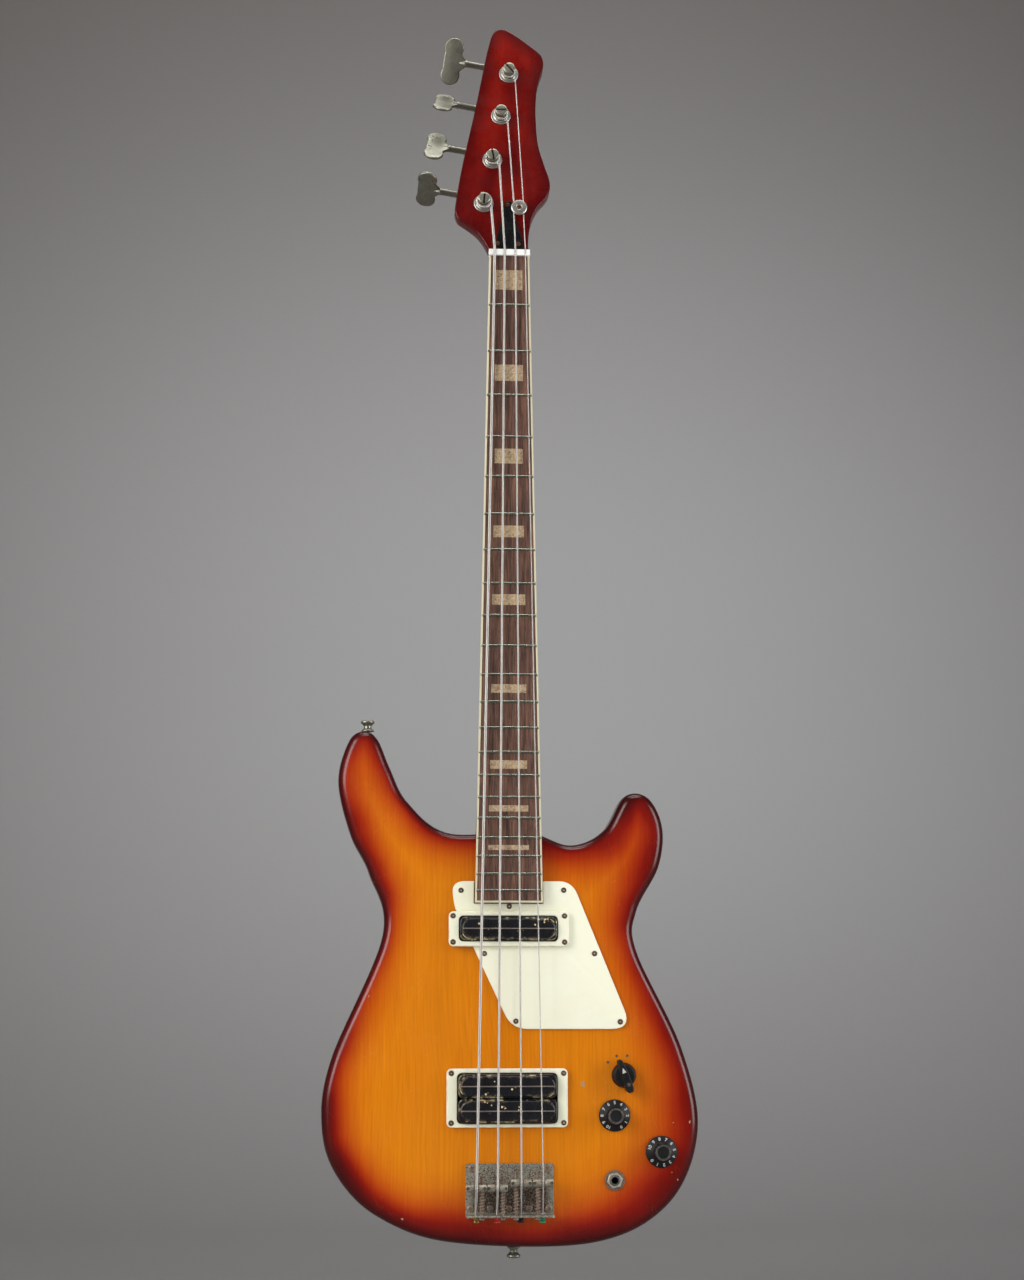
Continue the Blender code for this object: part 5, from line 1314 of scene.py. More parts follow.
# %% Binding
BINDING = 1.8 * MM
sides = [
    (-half_width(0), 0), *[(half_width(BOARD_LENGTH) * s, -BOARD_LENGTH) for s in np.linspace(-1, 1, 15)],
    (half_width(0), 0),
]
inner = [
    (-half_width(0) + BINDING, 0),
    *[
        ((half_width(BOARD_LENGTH) - BINDING) * s, -BOARD_LENGTH + BINDING)
        for s in np.linspace(-1, 1, 15)
    ],
]
inner.append((half_width(0) - BINDING, 0))
sides, inner = np.array(sides)[:, None], np.array(inner)[:, None]
deep = np.array([0, 0, 0.08, 0.3, 0.75, 1, 1])[None, :, None]
drop = np.array([6, 0.45, 0.15, 0.02, 0, 0, 6])[None] * MM
flat = sides + (inner - sides) * deep
heights = crown(flat[..., 0]) * (drop < 5 * MM) + drop
piece(
    "edge_binding", [skin(np.stack([flat[..., 0], heights, flat[..., 1]], -1))], [binding_plastic],
    "binding",
)

# %% Nut
STRINGS = {
    "e": dict(
        gauge=2.67, nut=-14.3, saddle=-29.7, along=-874.0, turns=1.25, post=(-24.3, 49.7), slot=85,
        button=73, curls=7, pitch=0.62,
    ),
    "a": dict(
        gauge=2.16, nut=-4.7, saddle=-10.6, along=-874.0, turns=1.5, post=(-15.7, 96.5), slot=100,
        button=-30, curls=7, pitch=0.5,
    ),
    "d": dict(
        gauge=1.65, nut=5.7, saddle=10.9, along=-869.5, turns=1.75, post=(-7.2, 144.5), slot=0,
        button=-43, curls=8, pitch=0.4,
    ),
    "g": dict(
        gauge=1.14, nut=15.3, saddle=30.6, along=-869.5, turns=2.0, post=(0.9, 190.6), slot=130,
        button=31, curls=8, pitch=0.3,
    ),
}
ACTION_NUT, ACTION_SADDLE = 1.6 * MM, 5.6 * MM
nut_profile = soften([(0.3, 6), (0.3, -2.5), (6.5, -2.2), (6.5, 6)], 0.7, 5) * MM
nut_x = np.array([-19.8, -19.7, -19.4, *np.linspace(-19, 19, 21), 19.4, 19.7, 19.8]) * MM
shrink = np.array([0.4, 0.15, 0.03] + [0] * 21 + [0.03, 0.15, 0.4])[:, None] * MM
middle = nut_profile.mean(0)
nut_y = nut_profile[None, :, 1] + shrink * np.sign(middle[1] - nut_profile[:, 1])
nut_z = nut_profile[None, :, 0] + shrink * np.sign(middle[0] - nut_profile[:, 0])
nut_body = skin(np.stack([np.broadcast_to(nut_x[:, None], nut_y.shape), nut_y, nut_z], -1))
slots = []
for string in STRINGS.values():
    radius = string["gauge"] * MM / 2 + 0.12 * MM
    cutter = turned([(0, -2 * MM), (radius, -2 * MM), (radius, 9 * MM), (0, 9 * MM)], 20)
    slots.append(moved(cutter, Matrix.Translation((string["nut"] * MM, -ACTION_NUT - radius + 0.12 * MM, 0))))
piece("white_nut", [carved([nut_body], slots)], [nut_plastic], "nut")

# %% [markdown]
# ## Headstock fittings
# A bell-shaped cover hides the nut of the rod inside the neck. A round disc on a stem holds the
# two thin strings down, so that they press on the nut. The disc is a turned form: a profile of
# radius and height, spun about its stem, as on a lathe.

# %% Rod cover and string tree
BELL_POINTS = [(13.9, 2), (13.3, 8), (11.2, 16), (8.6, 26), (6.5, 36), (5.0, 44), (3.9, 49.5), (2.0, 52)]
half_outline = flow(np.array(BELL_POINTS) * MM, 5, closed=False)
bell = np.concatenate([half_outline, half_outline[::-1] * (-1, 1)])
cover = [moved(made, HEAD) for made in slab(bell, 0.3 * MM, 1.9 * MM, 0.45 * MM, 3)]
rusty_screw = nickel(
    "rusty_screw", (0.34, 0.15, 0.07), (0.17, 0.07, 0.035), rust=0.5, roughness=(0.45, 0.65), scale=500.0,
    rust_scale=1700.0,
)
cover += [
    {**made, "paint": 1}
    for made in screws([(-1.3, 47.9), (-11.2, 7.0), (9.0, 6.7)], HEAD, 1.8 * MM, 0.82)
]
piece("rod_cover", cover, [cover_plastic, rusty_screw], "truss_rod_cover")

DISC = 6.13
tree_profile = np.array(
    [
        (0, DISC + 1.5), (2.3, DISC + 1.5), (2.8, DISC + 2.2), (7.0, DISC + 2.0), (7.9, DISC + 1.2),
        (7.7, DISC), (2.4, DISC), (2.4, 0.3), (0, 0.3),
    ]
)
tree_profile = soften(tree_profile, 0.35, 4, closed=False) * MM
tree_shells = [moved(turned(tree_profile, 56), at(HEAD, 9.6 * MM, 43 * MM))]
tree_shells += [{**made, "paint": 1} for made in screws([(9.6, 43)], HEAD, (DISC + 1.3) * MM, 0.9)]
piece("tree_disc", tree_shells, [bright_nickel, rusty_screw], "string_tree")

# %% [markdown]
# ## Open tuners
# Each tuner has a post through the headstock, a wheel with 18 teeth behind it, and a worm on the
# key that turns the wheel: 18 turns of the key for one of the post. The wheel's outline is one
# array of angles and radii, three corners to a tooth, and it leans a little with height so that
# its teeth follow the worm's thread.

# %% Post with its wheel
POST_RADIUS, GEAR_PLANE, CENTRE_DISTANCE = 5 * MM, 20.8 * MM, 14.9 * MM
WORM_RADIUS, WORM_CORE, WORM_RIDGE = 3.6 * MM, 3.0 * MM, 0.6 * MM
PITCH = 1.25 * MM * math.pi
TEETH, WHEEL_RADIUS = 18, 11.25 * MM
TOOTH_LEAD = PITCH / (2 * math.pi * WORM_RADIUS) / WHEEL_RADIUS


def wheel(height_list, insets):
    """18 teeth: root, tip, tip at -1/2, -0.13 and 0.13 of a tooth, turned by lead x height / radius."""
    tip, root = CENTRE_DISTANCE - WORM_CORE - 0.35 * MM, CENTRE_DISTANCE - WORM_RADIUS - WORM_RIDGE - 0.3 * MM
    share = (np.arange(TEETH)[:, None] + 0.5 + np.array([[-0.5, -0.13, 0.13]])).ravel()
    radius = np.tile([root, tip, tip], TEETH)
    sections = []
    for height, inset in zip(height_list, insets):
        angle = np.pi / 2 + height * TOOTH_LEAD + share * 2 * np.pi / TEETH
        sections.append(
            np.column_stack(
                [
                    (radius - inset) * np.cos(angle), (radius - inset) * np.sin(angle),
                    np.full(3 * TEETH, height - GEAR_PLANE),
                ]
            )
        )
    return skin(np.array(sections))


post_profile = [(0, 13.5), (4.6, 13.5), (6.0, 12.9), (6.0, 11.6), (5.0, 10.8), (5.0, -23.8), (0, -23.8)]
post_profile = soften(post_profile, [0.2, 0.8, 0.6, 0.4, 0.3, 0.3, 0.2], 4, closed=False) * MM
slot_cutter = brick((-8 * MM, -0.9 * MM, 11.1 * MM), (8 * MM, 0.9 * MM, 16 * MM), 0.05 * MM)
slotted_post = carved([turned(post_profile, 36)], slot_cutter)
# A thin near-black plate at the slot's bottom: painted shade in the slot.
slot_shade_floor = brick((-5.2 * MM, -0.88 * MM, 10.9 * MM), (5.2 * MM, 0.88 * MM, 11.2 * MM), 0.05 * MM, paint=2)
wheel_shell = wheel(np.array([-2, -1.7, 1.7, 2]) * MM, np.array([0.3, 0, 0, 0.3]) * MM)
wheel_screw = moved(
    cross_head(3.2 * MM, 1.2 * MM, slot=True),
    Matrix.Translation((0, 0, -23.7 * MM)) @ Matrix.Rotation(math.pi, 4, "X"),
)

# %% Key: worm, shaft and two-lobed paddle
shaft_profile = [
    (0, 52), (1.6, 51.5), (2.6, 48.2), (3.5, 45.6), (3.5, 44.0), (3.15, 43.4), (3.15, 8.6), (2.2, 8.6),
    (2.2, 5.9),
    (WORM_CORE / MM, 5.9), (WORM_CORE / MM, -5.9), (2.2, -5.9), (2.2, -8.2), (1.9, -8.6), (0, -8.6),
]
outwards = Matrix.Rotation(math.radians(-90), 4, "Y")
key_shaft = moved(turned(np.array(shaft_profile) * MM, 32), outwards)
worm_turn = math.pi + 2 * math.pi * np.linspace(-1, 1, 49)
worm_path = np.column_stack(
    [
        PITCH * (worm_turn - math.pi) / (2 * math.pi), WORM_RADIUS * np.cos(worm_turn),
        WORM_RADIUS * np.sin(worm_turn),
    ]
)
worm_ridge = tube(worm_path, WORM_RIDGE, 8, lean=(1, 0, 0))

LOBE_RADIUS, LOBE_ALONG, LOBE_ASIDE = 9.6, 58.5, 13.4


def paddle():
    """Two round lobes either side of the shaft's line, waisted towards it, outwards along -x."""
    angle = np.radians(np.linspace(-28, 208, 22))
    lobe = np.column_stack(
        [LOBE_ALONG + LOBE_RADIUS * np.cos(angle), LOBE_ASIDE + LOBE_RADIUS * np.sin(angle)]
    )
    half = np.concatenate([[(67.2, 0)], lobe, [(48.1, 6.2), (44.5, 3.3)]])
    whole = np.concatenate([half, half[:0:-1] * (1, -1)])
    rounded = soften(whole, 1.4, 3) * MM * (-1, 1)
    return slab(rounded[::-1], -1.5 * MM, 1.5 * MM, 1.1 * MM, 4)


key_shells = {}
for name, string in STRINGS.items():
    tilt = Matrix.Rotation(math.radians(string["button"]), 4, "X")
    key_shells[name] = [key_shaft, worm_ridge] + [moved(made, tilt) for made in paddle()]

# %% Place the four tuners
TUNER_LEAN = 10
flange = [
    (9.2, 1.5), (9.6, 1.1), (9.6, 0.3), (6.6, 0.3), (6.6, -9), (5.4, -9), (5.4, 2.3), (6.5, 2.3),
    (6.9, 1.7), (7.6, 1.5),
]
plate_outline = rectangle(-13 * MM, 13 * MM, -9.5 * MM, 22 * MM, 3 * MM)
post_hole = circle(0, 0, 5.4 * MM, 32)
for name, string in STRINGS.items():
    x, y = (value * MM for value in string["post"])
    tuner = at(HEAD, x, y, 0, math.radians(-TUNER_LEAN))
    ferrule = moved(turned(soften(flange, 0.2, 3) * MM, 64, closed=True), tuner)
    piece(f"ferrule_{name}", [ferrule], [bright_nickel], f"tuner_ferrule_{name}")
    slot_angle = Matrix.Rotation(math.radians(TUNER_LEAN + string["slot"]), 4, "Z")
    post_shells = [
        moved(slotted_post, tuner @ slot_angle), moved(wheel_shell, tuner, 1),
        moved(wheel_screw, tuner, 1),
    ]
    post_shells += [moved(made, tuner @ slot_angle) for made in slot_shade_floor]
    piece(
        f"post_{name}", post_shells, [post_nickel, brass, dark_hollow], f"tuner_post_{name}",
        body=f"post_{name}", sharp=30,
    )
    key_at = at(tuner, 0, CENTRE_DISTANCE, -GEAR_PLANE)
    piece(
        f"key_{name}", [moved(made, key_at) for made in key_shells[name]], [dull_nickel],
        f"tuner_key_{name}", body=f"key_{name}",
    )
    base = slab(plate_outline, -16.3 * MM, -14.3 * MM, 0.4 * MM, 3, holes=[post_hole])
    for side in (-1, 1):
        low, high = sorted((side * 6.2 * MM, side * 8.2 * MM))
        base += brick(
            (low, CENTRE_DISTANCE - 4.5 * MM, -24.4 * MM), (high, CENTRE_DISTANCE + 4.5 * MM, -15.3 * MM),
            0.4 * MM,
        )
    base += [
        {**made, "paint": 1}
        for made in screws(
            [(-10, -6.5), (10, -6.5), (-10.2, 19.2), (10.2, 19.2)], Matrix.Rotation(math.pi, 4, "Y"),
            16.2 * MM,
        )
    ]
    piece(
        f"back_plate_{name}", [moved(made, tuner) for made in base], [dull_nickel, brown_screw],
        f"tuner_plate_{name}",
    )
print("tuners done, key length", round(float(key_shaft["points"][:, 0].min() / MM), 1), "mm")

# %% [markdown]
# ## Wound strings
# A bass string is a steel core with a fine wire wound round it. Each string is one tube along one
# path: from its ball end through the bridge's wall, over the saddle, straight to the nut, and up
# to its post, where it turns round in a helix. The tube carries its run, the length from its
# start, and the finish draws one bright wrap for each pitch of that length, with painted shade
# in the groove between two wraps.

# %% String paths
HELIX_STEPS = 40


def head_point(x, y, height):
    """A point above the headstock's face, in world coordinates."""
    return np.array(HEAD @ Vector((x, y, height)))


def string_path(name):
    """Straight lines to the post, then (x + R cos a, y + R sin a, h + rise a / 2 pi) in the headstock's
    frame."""
    string = STRINGS[name]
    radius = string["gauge"] * MM / 2
    nut, saddle, along = string["nut"] * MM, string["saddle"] * MM, string["along"] * MM
    over = -ACTION_SADDLE - radius
    points = [(saddle, 3 * MM, -903 * MM), (saddle, 3 * MM, -900.3 * MM), (saddle, 3 * MM, -898 * MM)]
    points += [
        (saddle, over + 0.75 * MM, along - 2.4 * MM), (saddle, over + 0.15 * MM, along - 1 * MM),
        (saddle, over, along),
    ]
    points += [(nut, -ACTION_NUT - radius, 0.3 * MM), (nut, -ACTION_NUT - radius, 6.5 * MM)]
    if name in "dg":
        tree_x = {"d": 4.6, "g": 13.9}[name] * MM
        points += [head_point(tree_x, (43 + step) * MM, 5 * MM) for step in (-6.32, 6.32)]
    x, y = (value * MM for value in string["post"])
    reach = POST_RADIUS + 0.3 * MM + radius
    come = HEAD.inverted() @ Vector(points[-1])
    away = np.array((come.x - x, come.y - y))
    tangent = math.atan2(away[1], away[0]) + math.acos(reach / np.linalg.norm(away))
    turn = np.arange(round(string["turns"] * HELIX_STEPS) + 1) / HELIX_STEPS
    angle = tangent + 2 * np.pi * turn
    height = 2.8 * MM + radius + (string["gauge"] + 0.46) * MM * turn
    helix = np.column_stack(
        [x + reach * np.cos(angle), y + reach * np.sin(angle), height, np.ones(len(turn))]
    )
    ahead = helix[-1] - helix[-2]
    helix = np.concatenate([helix, [helix[-1] + ahead / np.linalg.norm(ahead) * 2 * radius]])
    straight = np.array([tuple(point) for point in points])
    return np.concatenate([straight, (helix @ np.array(HEAD).T)[:, :3]]), radius


for name, string in STRINGS.items():
    path, radius = string_path(name)
    wire_shell = tube(path, radius, 14, pitch=string["pitch"] * MM)
    barrel = soften(
        [
            (1.0, 0), (2.5, 0), (2.9, 0.5), (2.9, 1.5), (2.2, 2.0), (2.2, 2.6), (2.9, 3.1), (2.9, 4.1),
            (2.5, 4.6), (1.0, 4.6),
        ],
        0.2, 3,
    ) * MM
    ball = moved(
        turned(barrel, 28, closed=True), Matrix.Translation((string["saddle"] * MM, 3 * MM, -904.9 * MM)),
        1,
    )
    piece(
        f"wound_string_{name}", [wire_shell, ball], [string_steel, BALLS[name]], f"string_{name}",
        sharp=50,
    )
    print(
        f"string {name}: {np.linalg.norm(np.diff(path, axis=0), axis=1).sum():.3f} m of {string['gauge']} mm"
    )

# %% [markdown]
# ## Pickguard and pickups
# The guard is a cream plate cut round the end of the neck and round the neck pickup. The two
# surrounds are frames with rounded corners, and each coil is a black block whose crowned top
# ends in round arcs, with a thin steel blade along its middle that senses all four strings.

# %% Guard and surrounds
GUARD_CORNERS = [
    (-53, -598), (-50, -622), (-46.75, -628.8), (46, -628.8), (46, -654.5), (-34.5, -654.5), (3, -733),
    (114, -733), (59, -598),
]
slot_low, slot_high = half_width(618.6 * MM) + 0.6 * MM, half_width(598 * MM) + 0.6 * MM
neck_notch = [
    (slot_high, -598 * MM), (slot_low, -618.6 * MM), (-slot_low, -618.6 * MM), (-slot_high, -598 * MM),
]
guard_outline = np.concatenate(
    [soften(GUARD_CORNERS, [13, 9, 1.5, 3, 3, 5, 15, 19, 12.5], 9) * MM, neck_notch]
)
guard = [moved(made, FACE) for made in slab(guard_outline, 0.3 * MM, 2.7 * MM, 0.7 * MM, 4)]
GUARD_SCREWS = [
    (-44, -606.5), (51.1, -606.2), (0.6, -621.2), (-22.3, -664.4), (79.5, -664.2), (6.7, -725.8),
    (102.9, -726.4),
]
guard += [{**made, "paint": 1} for made in screws(GUARD_SCREWS, FACE, 2.45 * MM, 0.95)]
piece("guard_plate", guard, [guard_plastic, brown_screw], "pickguard")
SURROUNDS = {
    "neck": (
        (-55.3, 55.7, -658, -625.8), (-45.8, 45.3, -653.3, -630), 3.0,
        [(-51.4, -630), (51.4, -630), (-51.4, -654), (51.4, -654)],
    ),
    "bridge": (
        (-56.6, 54.2, -821.2, -768.3), (-46.8, 44.7, -817.8, -772.5), 0.3,
        [(-52.3, -772.6), (50.4, -772.6), (-52.3, -817), (50.4, -817)],
    ),
}
for name, (outer, inner, low, places) in SURROUNDS.items():
    frame_shells = slab(
        rectangle(*np.array(outer) * MM, 4.5 * MM), low * MM, (low + 4.2) * MM, 0.9 * MM, 4,
        holes=[rectangle(*np.array(inner) * MM, 4 * MM)],
    )
    frame_shells = [moved(made, FACE) for made in frame_shells]
    frame_shells += [{**made, "paint": 1} for made in screws(places, FACE, (low + 3.95) * MM, 0.95)]
    piece(
        f"{name}_surround", frame_shells, [rim_plastic, brown_screw], f"{name}_pickup_surround",
    )

# %% Coils with crowned tops and blades
blade_steel = nickel(
    "blade_steel", (0.80, 0.70, 0.64), (0.55, 0.46, 0.41), rust=0.03, roughness=(0.4, 0.55), scale=400.0,
)
COILS = {
    "neck_pickup": ((-45, 44.5, -652.5, -630.8), 12.0),
    "bridge_pickup_upper_coil": ((-46, 43.9, -794.9, -773.3), 12.6),
    "bridge_pickup_lower_coil": ((-46, 43.9, -817, -795.3), 12.6),
}
for node, (box_mm, high) in COILS.items():
    left, right_end, bottom, top = np.array(box_mm) * MM
    high *= MM
    coil = slab(rectangle(left, right_end, bottom, top, 5.0 * MM), -17.7 * MM, high - 2.9 * MM, 1.4 * MM, 5)
    inside = 1.5 * MM
    coil += slab(
        rectangle(left + inside, right_end - inside, bottom + inside, top - inside, 9.2 * MM, 14),
        high - 8 * MM, high, 1.9 * MM, 6,
    )
    middle = (bottom + top) / 2
    blade = slab(
        rectangle(
            left + 2.6 * MM, right_end - 2.6 * MM, middle - 0.55 * MM, middle + 0.55 * MM, 0.4 * MM, 3,
        ),
        high - 4 * MM, high + 0.8 * MM, 0.2 * MM, 2,
    )
    piece(node + "_cast", [moved(made, FACE) for made in coil], [bobbin], node)
    piece(node + "_blade", [moved(made, FACE) for made in blade], [blade_steel])

# %% [markdown]
# ## Bridge
# A sheet of plated steel is bent up at its rear. Four barrels lie across it, one under each
# string, and each stands on two small hexagon-socket screws. A long screw through the rear wall
# pulls each barrel back against a spring, a coil of wire from the wall to the barrel.

# %% Bent plate
sheet = [(-853, 0.3), (-853, 2.3), (-898, 2.3), (-898, 17.5), (-900, 17.5), (-900, 0.3)]
sheet = soften(sheet, [0.4, 0.7, 1.4, 0.7, 0.7, 2.6], 7) * MM
bridge_x = np.array([-38.8, -38.76, -38.6, *np.linspace(-38, 40.4, 21), 41.0, 41.16, 41.2]) * MM
eased = np.array([0.2, 0.08, 0.02] + [0] * 21 + [0.02, 0.08, 0.2]) * MM
bent = skin(np.array([np.insert(inward(sheet, ease), 0, x, 1) for x, ease in zip(bridge_x, eased)]))


def corner_cutter(x, y, to_x, to_y, radius=3 * MM):
    """Outside the quarter circle (x - r (1 - cos a), y - r (1 - sin a)) at a corner that points to (to_x,
    to_y)."""
    a = np.linspace(0, np.pi / 2, 9)
    arc = np.column_stack([x - to_x * radius * (1 - np.cos(a)), y - to_y * radius * (1 - np.sin(a))])
    outside = np.array(
        [
            (x - to_x * radius, y + to_y * MM), (x + to_x * MM, y + to_y * MM),
            (x + to_x * MM, y - to_y * radius),
        ]
    )
    loop = np.concatenate([arc, outside])
    return loop[::-1] if to_x * to_y > 0 else loop


upright = Matrix.Rotation(math.radians(90), 4, "X")
cutters = []
for x, to_x in ((-38.8 * MM, -1), (41.2 * MM, 1)):
    cutters += slab(corner_cutter(x, -853 * MM, to_x, 1), -1 * MM, 5 * MM, 0.02 * MM, 1)
    top = slab(corner_cutter(x, 17.5 * MM, to_x, 1), 896.5 * MM, 902 * MM, 0.02 * MM, 1)
    cutters += [moved(made, upright) for made in top]
bent = carved([bent], cutters)
bridge_shells = [moved(bent, FACE)]
bridge_shells += [
    {**made, "paint": 1}
    for made in screws([(-33.1, -857.6), (35.2, -857.9)], FACE, 2.15 * MM, 1.32)
]
bridge_shells += [
    {**made, "paint": 1}
    for made in screws(
        [(-34.5, -893), (-16.5, -893), (0.4, -893), (18.7, -893), (36.5, -893)], FACE, 2.15 * MM, 1.15,
    )
]
piece("bent_bridge", bridge_shells, [plate_nickel, spring_steel], "bridge_plate")

# %% Barrels, screws and springs
BARREL_HEIGHT = 14.7 * MM
barrel_profile = [
    (0, 9.3), (2.9, 9.3), (3.5, 8.7), (3.5, 2.6), (2.6, 1.5), (2.6, -1.5), (3.5, -2.6), (3.5, -8.7),
    (2.9, -9.3), (0, -9.3),
]
barrel = moved(
    turned(soften(barrel_profile, 0.35, 4, closed=False) * MM, 36),
    Matrix.Rotation(math.radians(90), 4, "Y"),
)
socket_bores = [
    moved(
        turned(np.array([(0, 1.6), (1.45, 1.6), (1.45, 6), (0, 6)]) * MM, 18),
        Matrix.Translation((x * MM, 0, 0)),
    )
    for x in (-7.7, 7.7)
]
barrel = carved([barrel], socket_bores)
hex_bit = turned(np.array([(0, 0.9), (0.72, 0.9), (0.72, 4), (0, 4)]) * MM, 6)
height_screw = carved(
    [turned(np.array([(0, 2.5), (1.0, 2.5), (1.25, 2.2), (1.25, -12.1), (0, -12.1)]) * MM, 20)],
    [hex_bit],
)


def threaded(low, high, radius, pitch, depth=0.12):
    """A rod's profile whose radius steps in and out once per pitch, like a screw thread seen from the
    side."""
    heights = np.arange(low, high, pitch / 2)
    return np.column_stack([radius - depth * (np.arange(len(heights)) % 2), heights])


for name, string in STRINGS.items():
    side = 1 if name in "ea" else -1
    x, y = string["saddle"] * MM, string["along"] * MM
    here = at(FACE, x, y, BARREL_HEIGHT)
    saddle = [moved(barrel, here)] + [
        moved(height_screw, at(here, offset * MM, 0), 1)
        for offset in (-7.7, 7.7)
    ]
    piece(
        f"barrel_{name}", saddle, [barrel_nickel, rusty_steel], f"saddle_{name}", body=f"carriage_{name}",
    )
    axis = at(FACE, x + side * 4.9 * MM, 0, BARREL_HEIGHT) @ Matrix.Rotation(math.radians(-90), 4, "X")
    tip = string["along"] + 11
    thread = threaded(-898, tip - 0.8, 1.5, 0.6)
    profile = np.concatenate(
        [
            [(0, -902.2), (2.0, -902.2), (2.7, -901.6), (2.7, -900.3), (1.38, -900.3)], thread,
            [(1.0, tip - 0.4), (0.6, tip), (0, tip)],
        ]
    )
    slot_cut = brick((-0.4 * MM, -4 * MM, -905 * MM), (0.4 * MM, 4 * MM, -901.4 * MM), 0.03 * MM)
    screw = carved([turned(profile * MM, 20)], slot_cut)
    piece(
        f"long_screw_{name}", [moved(screw, axis)], [rusty_steel], f"intonation_screw_{name}",
        body=f"screw_{name}", sharp=30,
    )
    low, high = -897.35 * MM, (string["along"] - 4.15) * MM
    turn = np.linspace(0, 1, string["curls"] * 20 + 1)
    angle = 2 * np.pi * string["curls"] * turn
    height = low + 0.5 * MM + (high - low - 1.0 * MM) * turn
    coil_path = np.column_stack([2.35 * MM * np.cos(angle), 2.35 * MM * np.sin(angle), height])
    spring = piece(
        f"coil_spring_{name}", [moved(tube(coil_path, 0.35 * MM, 7, lean=(0, 0, 1)), axis)],
        [spring_steel], f"spring_{name}", body=None,
    )
    place = axis @ Vector((0, 0, 0))
    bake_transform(spring)
print("bridge done; springs of", [string["curls"] for string in STRINGS.values()], "curls")

# %% [markdown]
# ## Knobs
# The two round knobs flare into skirts with numbers from 0 to 10, set round like a clock that
# runs backwards. A number is drawn flat as text, turned into a mesh, and its points are then
# wrapped on the skirt: sideways becomes an angle, and upwards runs down the slope.

# %% Numbers as arrays
def written(text, size):
    """A number's mesh as a shell, centred, in the plane of x and y, with a little thickness in z."""
    curve = bpy.data.curves.new("number", "FONT")
    curve.body, curve.size, curve.extrude = text, size, 0.06 * MM
    curve.align_x, curve.align_y = "CENTER", "CENTER"
    curve.resolution_u = 3
    curve.offset = 0.03 * size
    holder = bpy.data.objects.new("number", curve)
    bpy.context.scene.collection.objects.link(holder)
    mesh = bpy.data.meshes.new_from_object(holder.evaluated_get(bpy.context.evaluated_depsgraph_get()))
    points = np.zeros(len(mesh.vertices) * 3)
    mesh.vertices.foreach_get("co", points)
    faces = np.array(
        [tuple(polygon.vertices) for polygon in mesh.polygons if len(polygon.vertices) == 3], int,
    ).reshape(-1, 3)
    fours = np.array(
        [tuple(polygon.vertices) for polygon in mesh.polygons if len(polygon.vertices) == 4], int,
    ).reshape(-1, 4)
    bpy.data.objects.remove(holder, do_unlink=True)
    return shell(points, [part for part in (faces, fours) if len(part)])


NUMBERS = [written(str(number), 4.3 * MM) for number in range(11)]
SKIRT_MIDDLE, SKIRT_SLOPE = (11.55, 3.78), (4.2, -2.0)


def on_skirt(number, angle):
    """(u, v, w) to radius 11.55 + v s + w n, angle a - u / r, height likewise, with s down the slope and
    n out of it."""
    flat = NUMBERS[number]["points"]
    s = np.array(SKIRT_SLOPE) / np.linalg.norm(SKIRT_SLOPE)
    n = np.array((-s[1], s[0]))
    radius = SKIRT_MIDDLE[0] * MM + flat[:, 1] * s[0] + flat[:, 2] * n[0]
    height = SKIRT_MIDDLE[1] * MM + flat[:, 1] * s[1] + flat[:, 2] * n[1]
    around = angle - flat[:, 0] / (SKIRT_MIDDLE[0] * MM)
    return shell(
        np.column_stack([radius * np.cos(around), radius * np.sin(around), height]),
        NUMBERS[number]["faces"], 2,
    )


def ribbed(angle, radius, height):
    """Radius less a rib's depth x (1 - cos 20 a) / 2 on the grip only."""
    on_grip = (height > 5.6 * MM) & (height < 14.6 * MM)
    return radius - on_grip * 0.4 * MM * (1 - np.cos(20 * angle)) / 2


knob_profile = [
    (0, 0.8), (14.2, 0.8), (14.4, 1.1), (14.4, 2.0), (13.7, 2.75), (9.6, 4.7), (8.6, 5.2), (7.9, 6.2),
    (7.7, 8), (7.5, 11), (7.3, 14.2), (7.2, 14.9), (6.7, 15.45), (6.2, 15.6),
]
knob_profile += [(5.6, 15.5), (5.2, 15.1), (4.9, 14.7), (0, 14.6)]
for name, (x, y), offset in (("volume", VOLUME_AT, 0), ("tone", TONE_AT, -80)):
    place = at(FACE, x * MM, y * MM)
    shells = [turned(np.array(knob_profile) * MM, 120, wobble=ribbed)]
    ring = turned(
        soften(
            [(5.5, 15.3), (7.1, 15.1), (7.15, 15.45), (6.6, 15.75), (5.8, 15.72), (5.4, 15.5)], 0.1, 3,
        ) * MM,
        80, closed=True,
    )
    shells.append({**ring, "paint": 1})
    shells.append(turned(np.array([(0, -12), (3, -12), (3, 3), (0, 3)]) * MM, 24))
    shells += [on_skirt(number, math.radians(90 + 30 * (number - 5) + offset)) for number in range(11)]
    piece(
        f"{name}_dial", [moved(made, place) for made in shells], [knob_plastic, worn_plastic, white_ink],
        f"{name}_knob", body=name,
    )

# %% Selector with a pointer
selector = at(FACE, SWITCH_AT[0] * MM, SWITCH_AT[1] * MM, 0, math.radians(20))
base = turned(
    soften(
        [(0, 0.8), (11.3, 0.8), (11.3, 1.8), (9.2, 8.5), (0, 8.5)], [0.1, 0.2, 0.5, 0.9, 0.1], 4,
        closed=False,
    ) * MM,
    72,
)
pointer = np.array(
    [
        (-3.4, -13.5), (-2.2, -16.0), (2.2, -16.0), (3.4, -13.5), (3.7, 2.0), (1.9, 15.0), (-1.9, 15.0),
        (-3.7, 2.0),
    ]
)
pointer = soften(pointer, [1.2, 1.2, 1.2, 1.2, 5, 1.8, 1.8, 5], 5) * MM
bar = slab(pointer, 1.4 * MM, 15.5 * MM, 1.0 * MM, 4)
triangle = slab(
    np.array([(-2.0, 2.6), (2.0, 2.6), (0, 7.4)]) * MM, 15.3 * MM, 15.6 * MM, 0.05 * MM, 1, paint=2,
)
dot = slab(circle(0, -8.6 * MM, 1.7 * MM), 15.3 * MM, 15.58 * MM, 0.05 * MM, 1, paint=1)
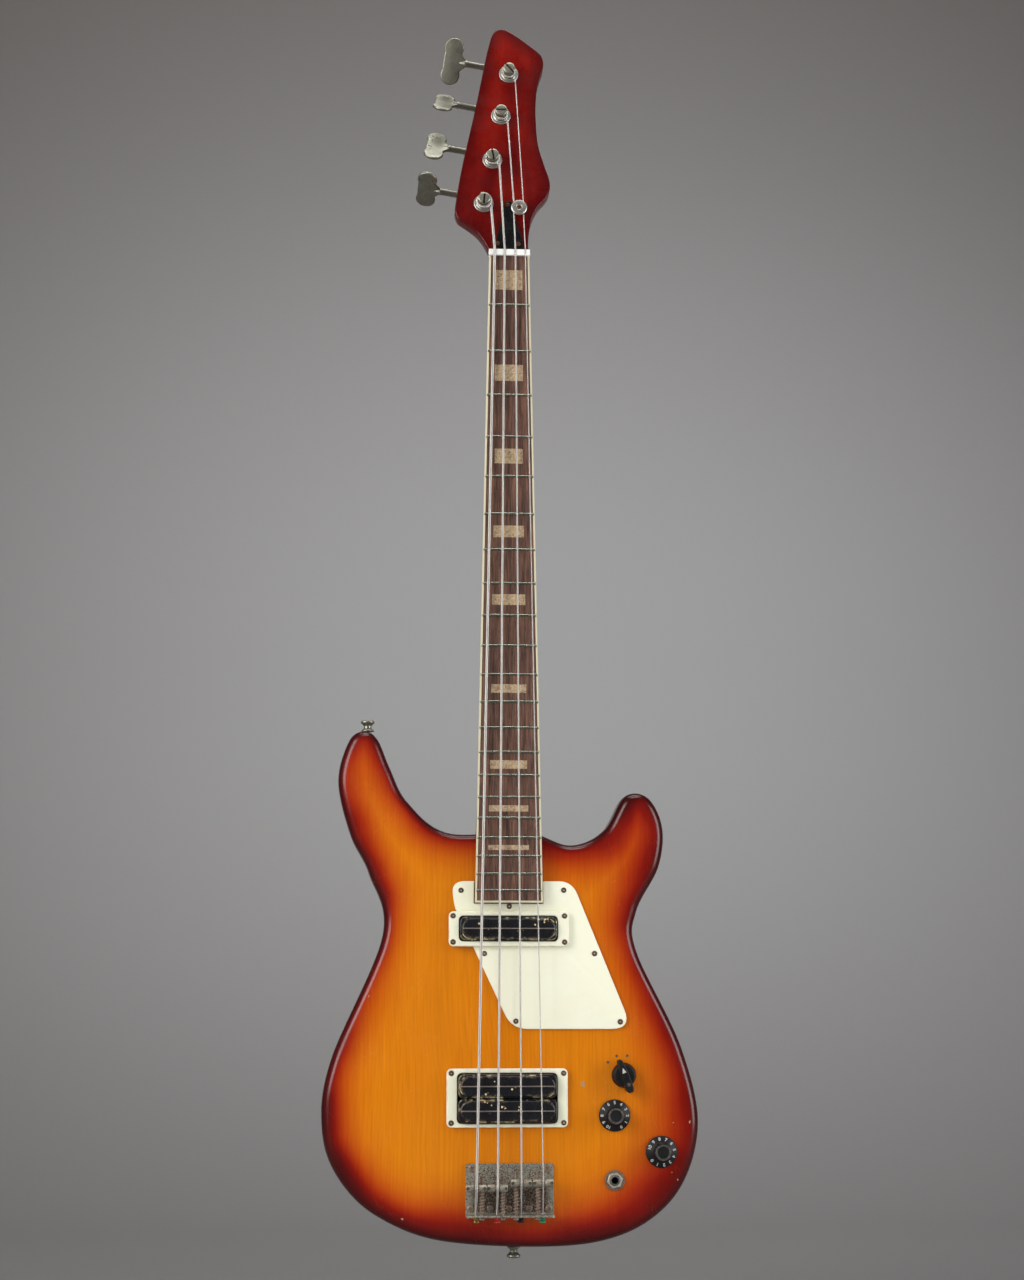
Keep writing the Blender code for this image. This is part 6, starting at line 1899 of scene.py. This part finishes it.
stem = turned(np.array([(0, -14), (3, -14), (3, 3), (0, 3)]) * MM, 24)
piece(
    "selector_knob", [moved(made, selector) for made in [base, stem] + bar + triangle + dot],
    [knob_plastic, worn_plastic, white_ink], "switch_knob", body="selector",
)

# %% Socket nut, strap buttons, and what is on the back
jack = at(FACE, JACK_AT[0] * MM, JACK_AT[1] * MM)
jack_bore = circle(0, 0, 4.9 * MM, 36)
angle = np.radians(60 * np.arange(6) + 12)
hexagon = soften(np.column_stack([np.cos(angle), np.sin(angle)]) * 12.7 / math.sqrt(3), 0.5, 3) * MM
nut_shells = slab(
    circle(0, 0, 9.2 * MM, 48), 0.3 * MM, 1.3 * MM, 0.2 * MM, 2, holes=[jack_bore], paint=1,
) + slab(hexagon, 0.8 * MM, 3.2 * MM, 0.5 * MM, 3, holes=[jack_bore])
piece(
    "socket_nut", [moved(made, jack) for made in nut_shells], [jack_nickel, rusty_steel], "jack_nut",
)

button_profile = [
    (0, 9.9), (2.2, 9.9), (2.6, 10.5), (4.6, 10.5), (6.3, 9.6), (6.3, 8.0), (3.5, 5.4), (3.5, 3.0),
    (6.0, 1.0), (6.0, 0), (0, 0),
]
button = turned(soften(button_profile, 0.5, 4, closed=False) * MM, 48)
button_screw = {**moved(SMALL_SCREW, Matrix.Translation((0, 0, 9.7 * MM))), "paint": 1}
horn = Matrix.Translation((-0.13156, 0.032, -0.45739))
tail = Matrix.Translation((0.006, 0.032, -0.92836)) @ Matrix.Rotation(math.pi, 4, "X")
for name, place in (("horn", horn), ("tail", tail)):
    piece(
        f"button_{name}", [moved(made, place) for made in (button, button_screw)],
        [dull_nickel, brown_screw], f"strap_button_{name}",
    )

back_plate = slab(
    rectangle(-31 * MM, 31 * MM, -612 * MM, -562 * MM, 5 * MM), -42.3 * MM, -40.3 * MM, 0.5 * MM, 3,
)
back_plate = [moved(made, FACE) for made in back_plate]
bolt = {**cross_head(4.6 * MM, 1.7 * MM, 0.7), "paint": 1}
facing_back = FACE @ Matrix.Rotation(math.pi, 4, "Y")
back_plate += [
    moved(bolt, at(facing_back, x * MM, y * MM, 42.2 * MM, 0.4 * i))
    for i, (x, y) in enumerate(((-23, -604), (23, -604), (-23, -570), (23, -570)))
]
piece("bolt_plate", back_plate, [dull_nickel, bright_nickel], "neck_plate")

lid_outline = inward(CONTROLS, -4.2 * MM)
lid = [moved(made, FACE) for made in slab(lid_outline, -40 * MM, -37.8 * MM, 0.4 * MM, 3)]
lid_screws = inward(CONTROLS, -1.8 * MM)[:: len(CONTROLS) // 8]
lid += [
    {**made, "paint": 1}
    for made in screws([(-x / MM, y / MM) for x, y in lid_screws], facing_back, 39.85 * MM, 0.8)
]
piece("controls_lid", lid, [cover_plastic, brown_screw], "control_cover")

for node in ("truss_rod", "volume_pot", "tone_pot", "rotary_switch", "jack_socket"):
    for slot in frame["nodes"][node].material_slots:
        slot.material = tin_plate

# %% Measure and finish
print(len(FINISHED), "pieces,", sum(len(made.data.polygons) for made in FINISHED), "faces")
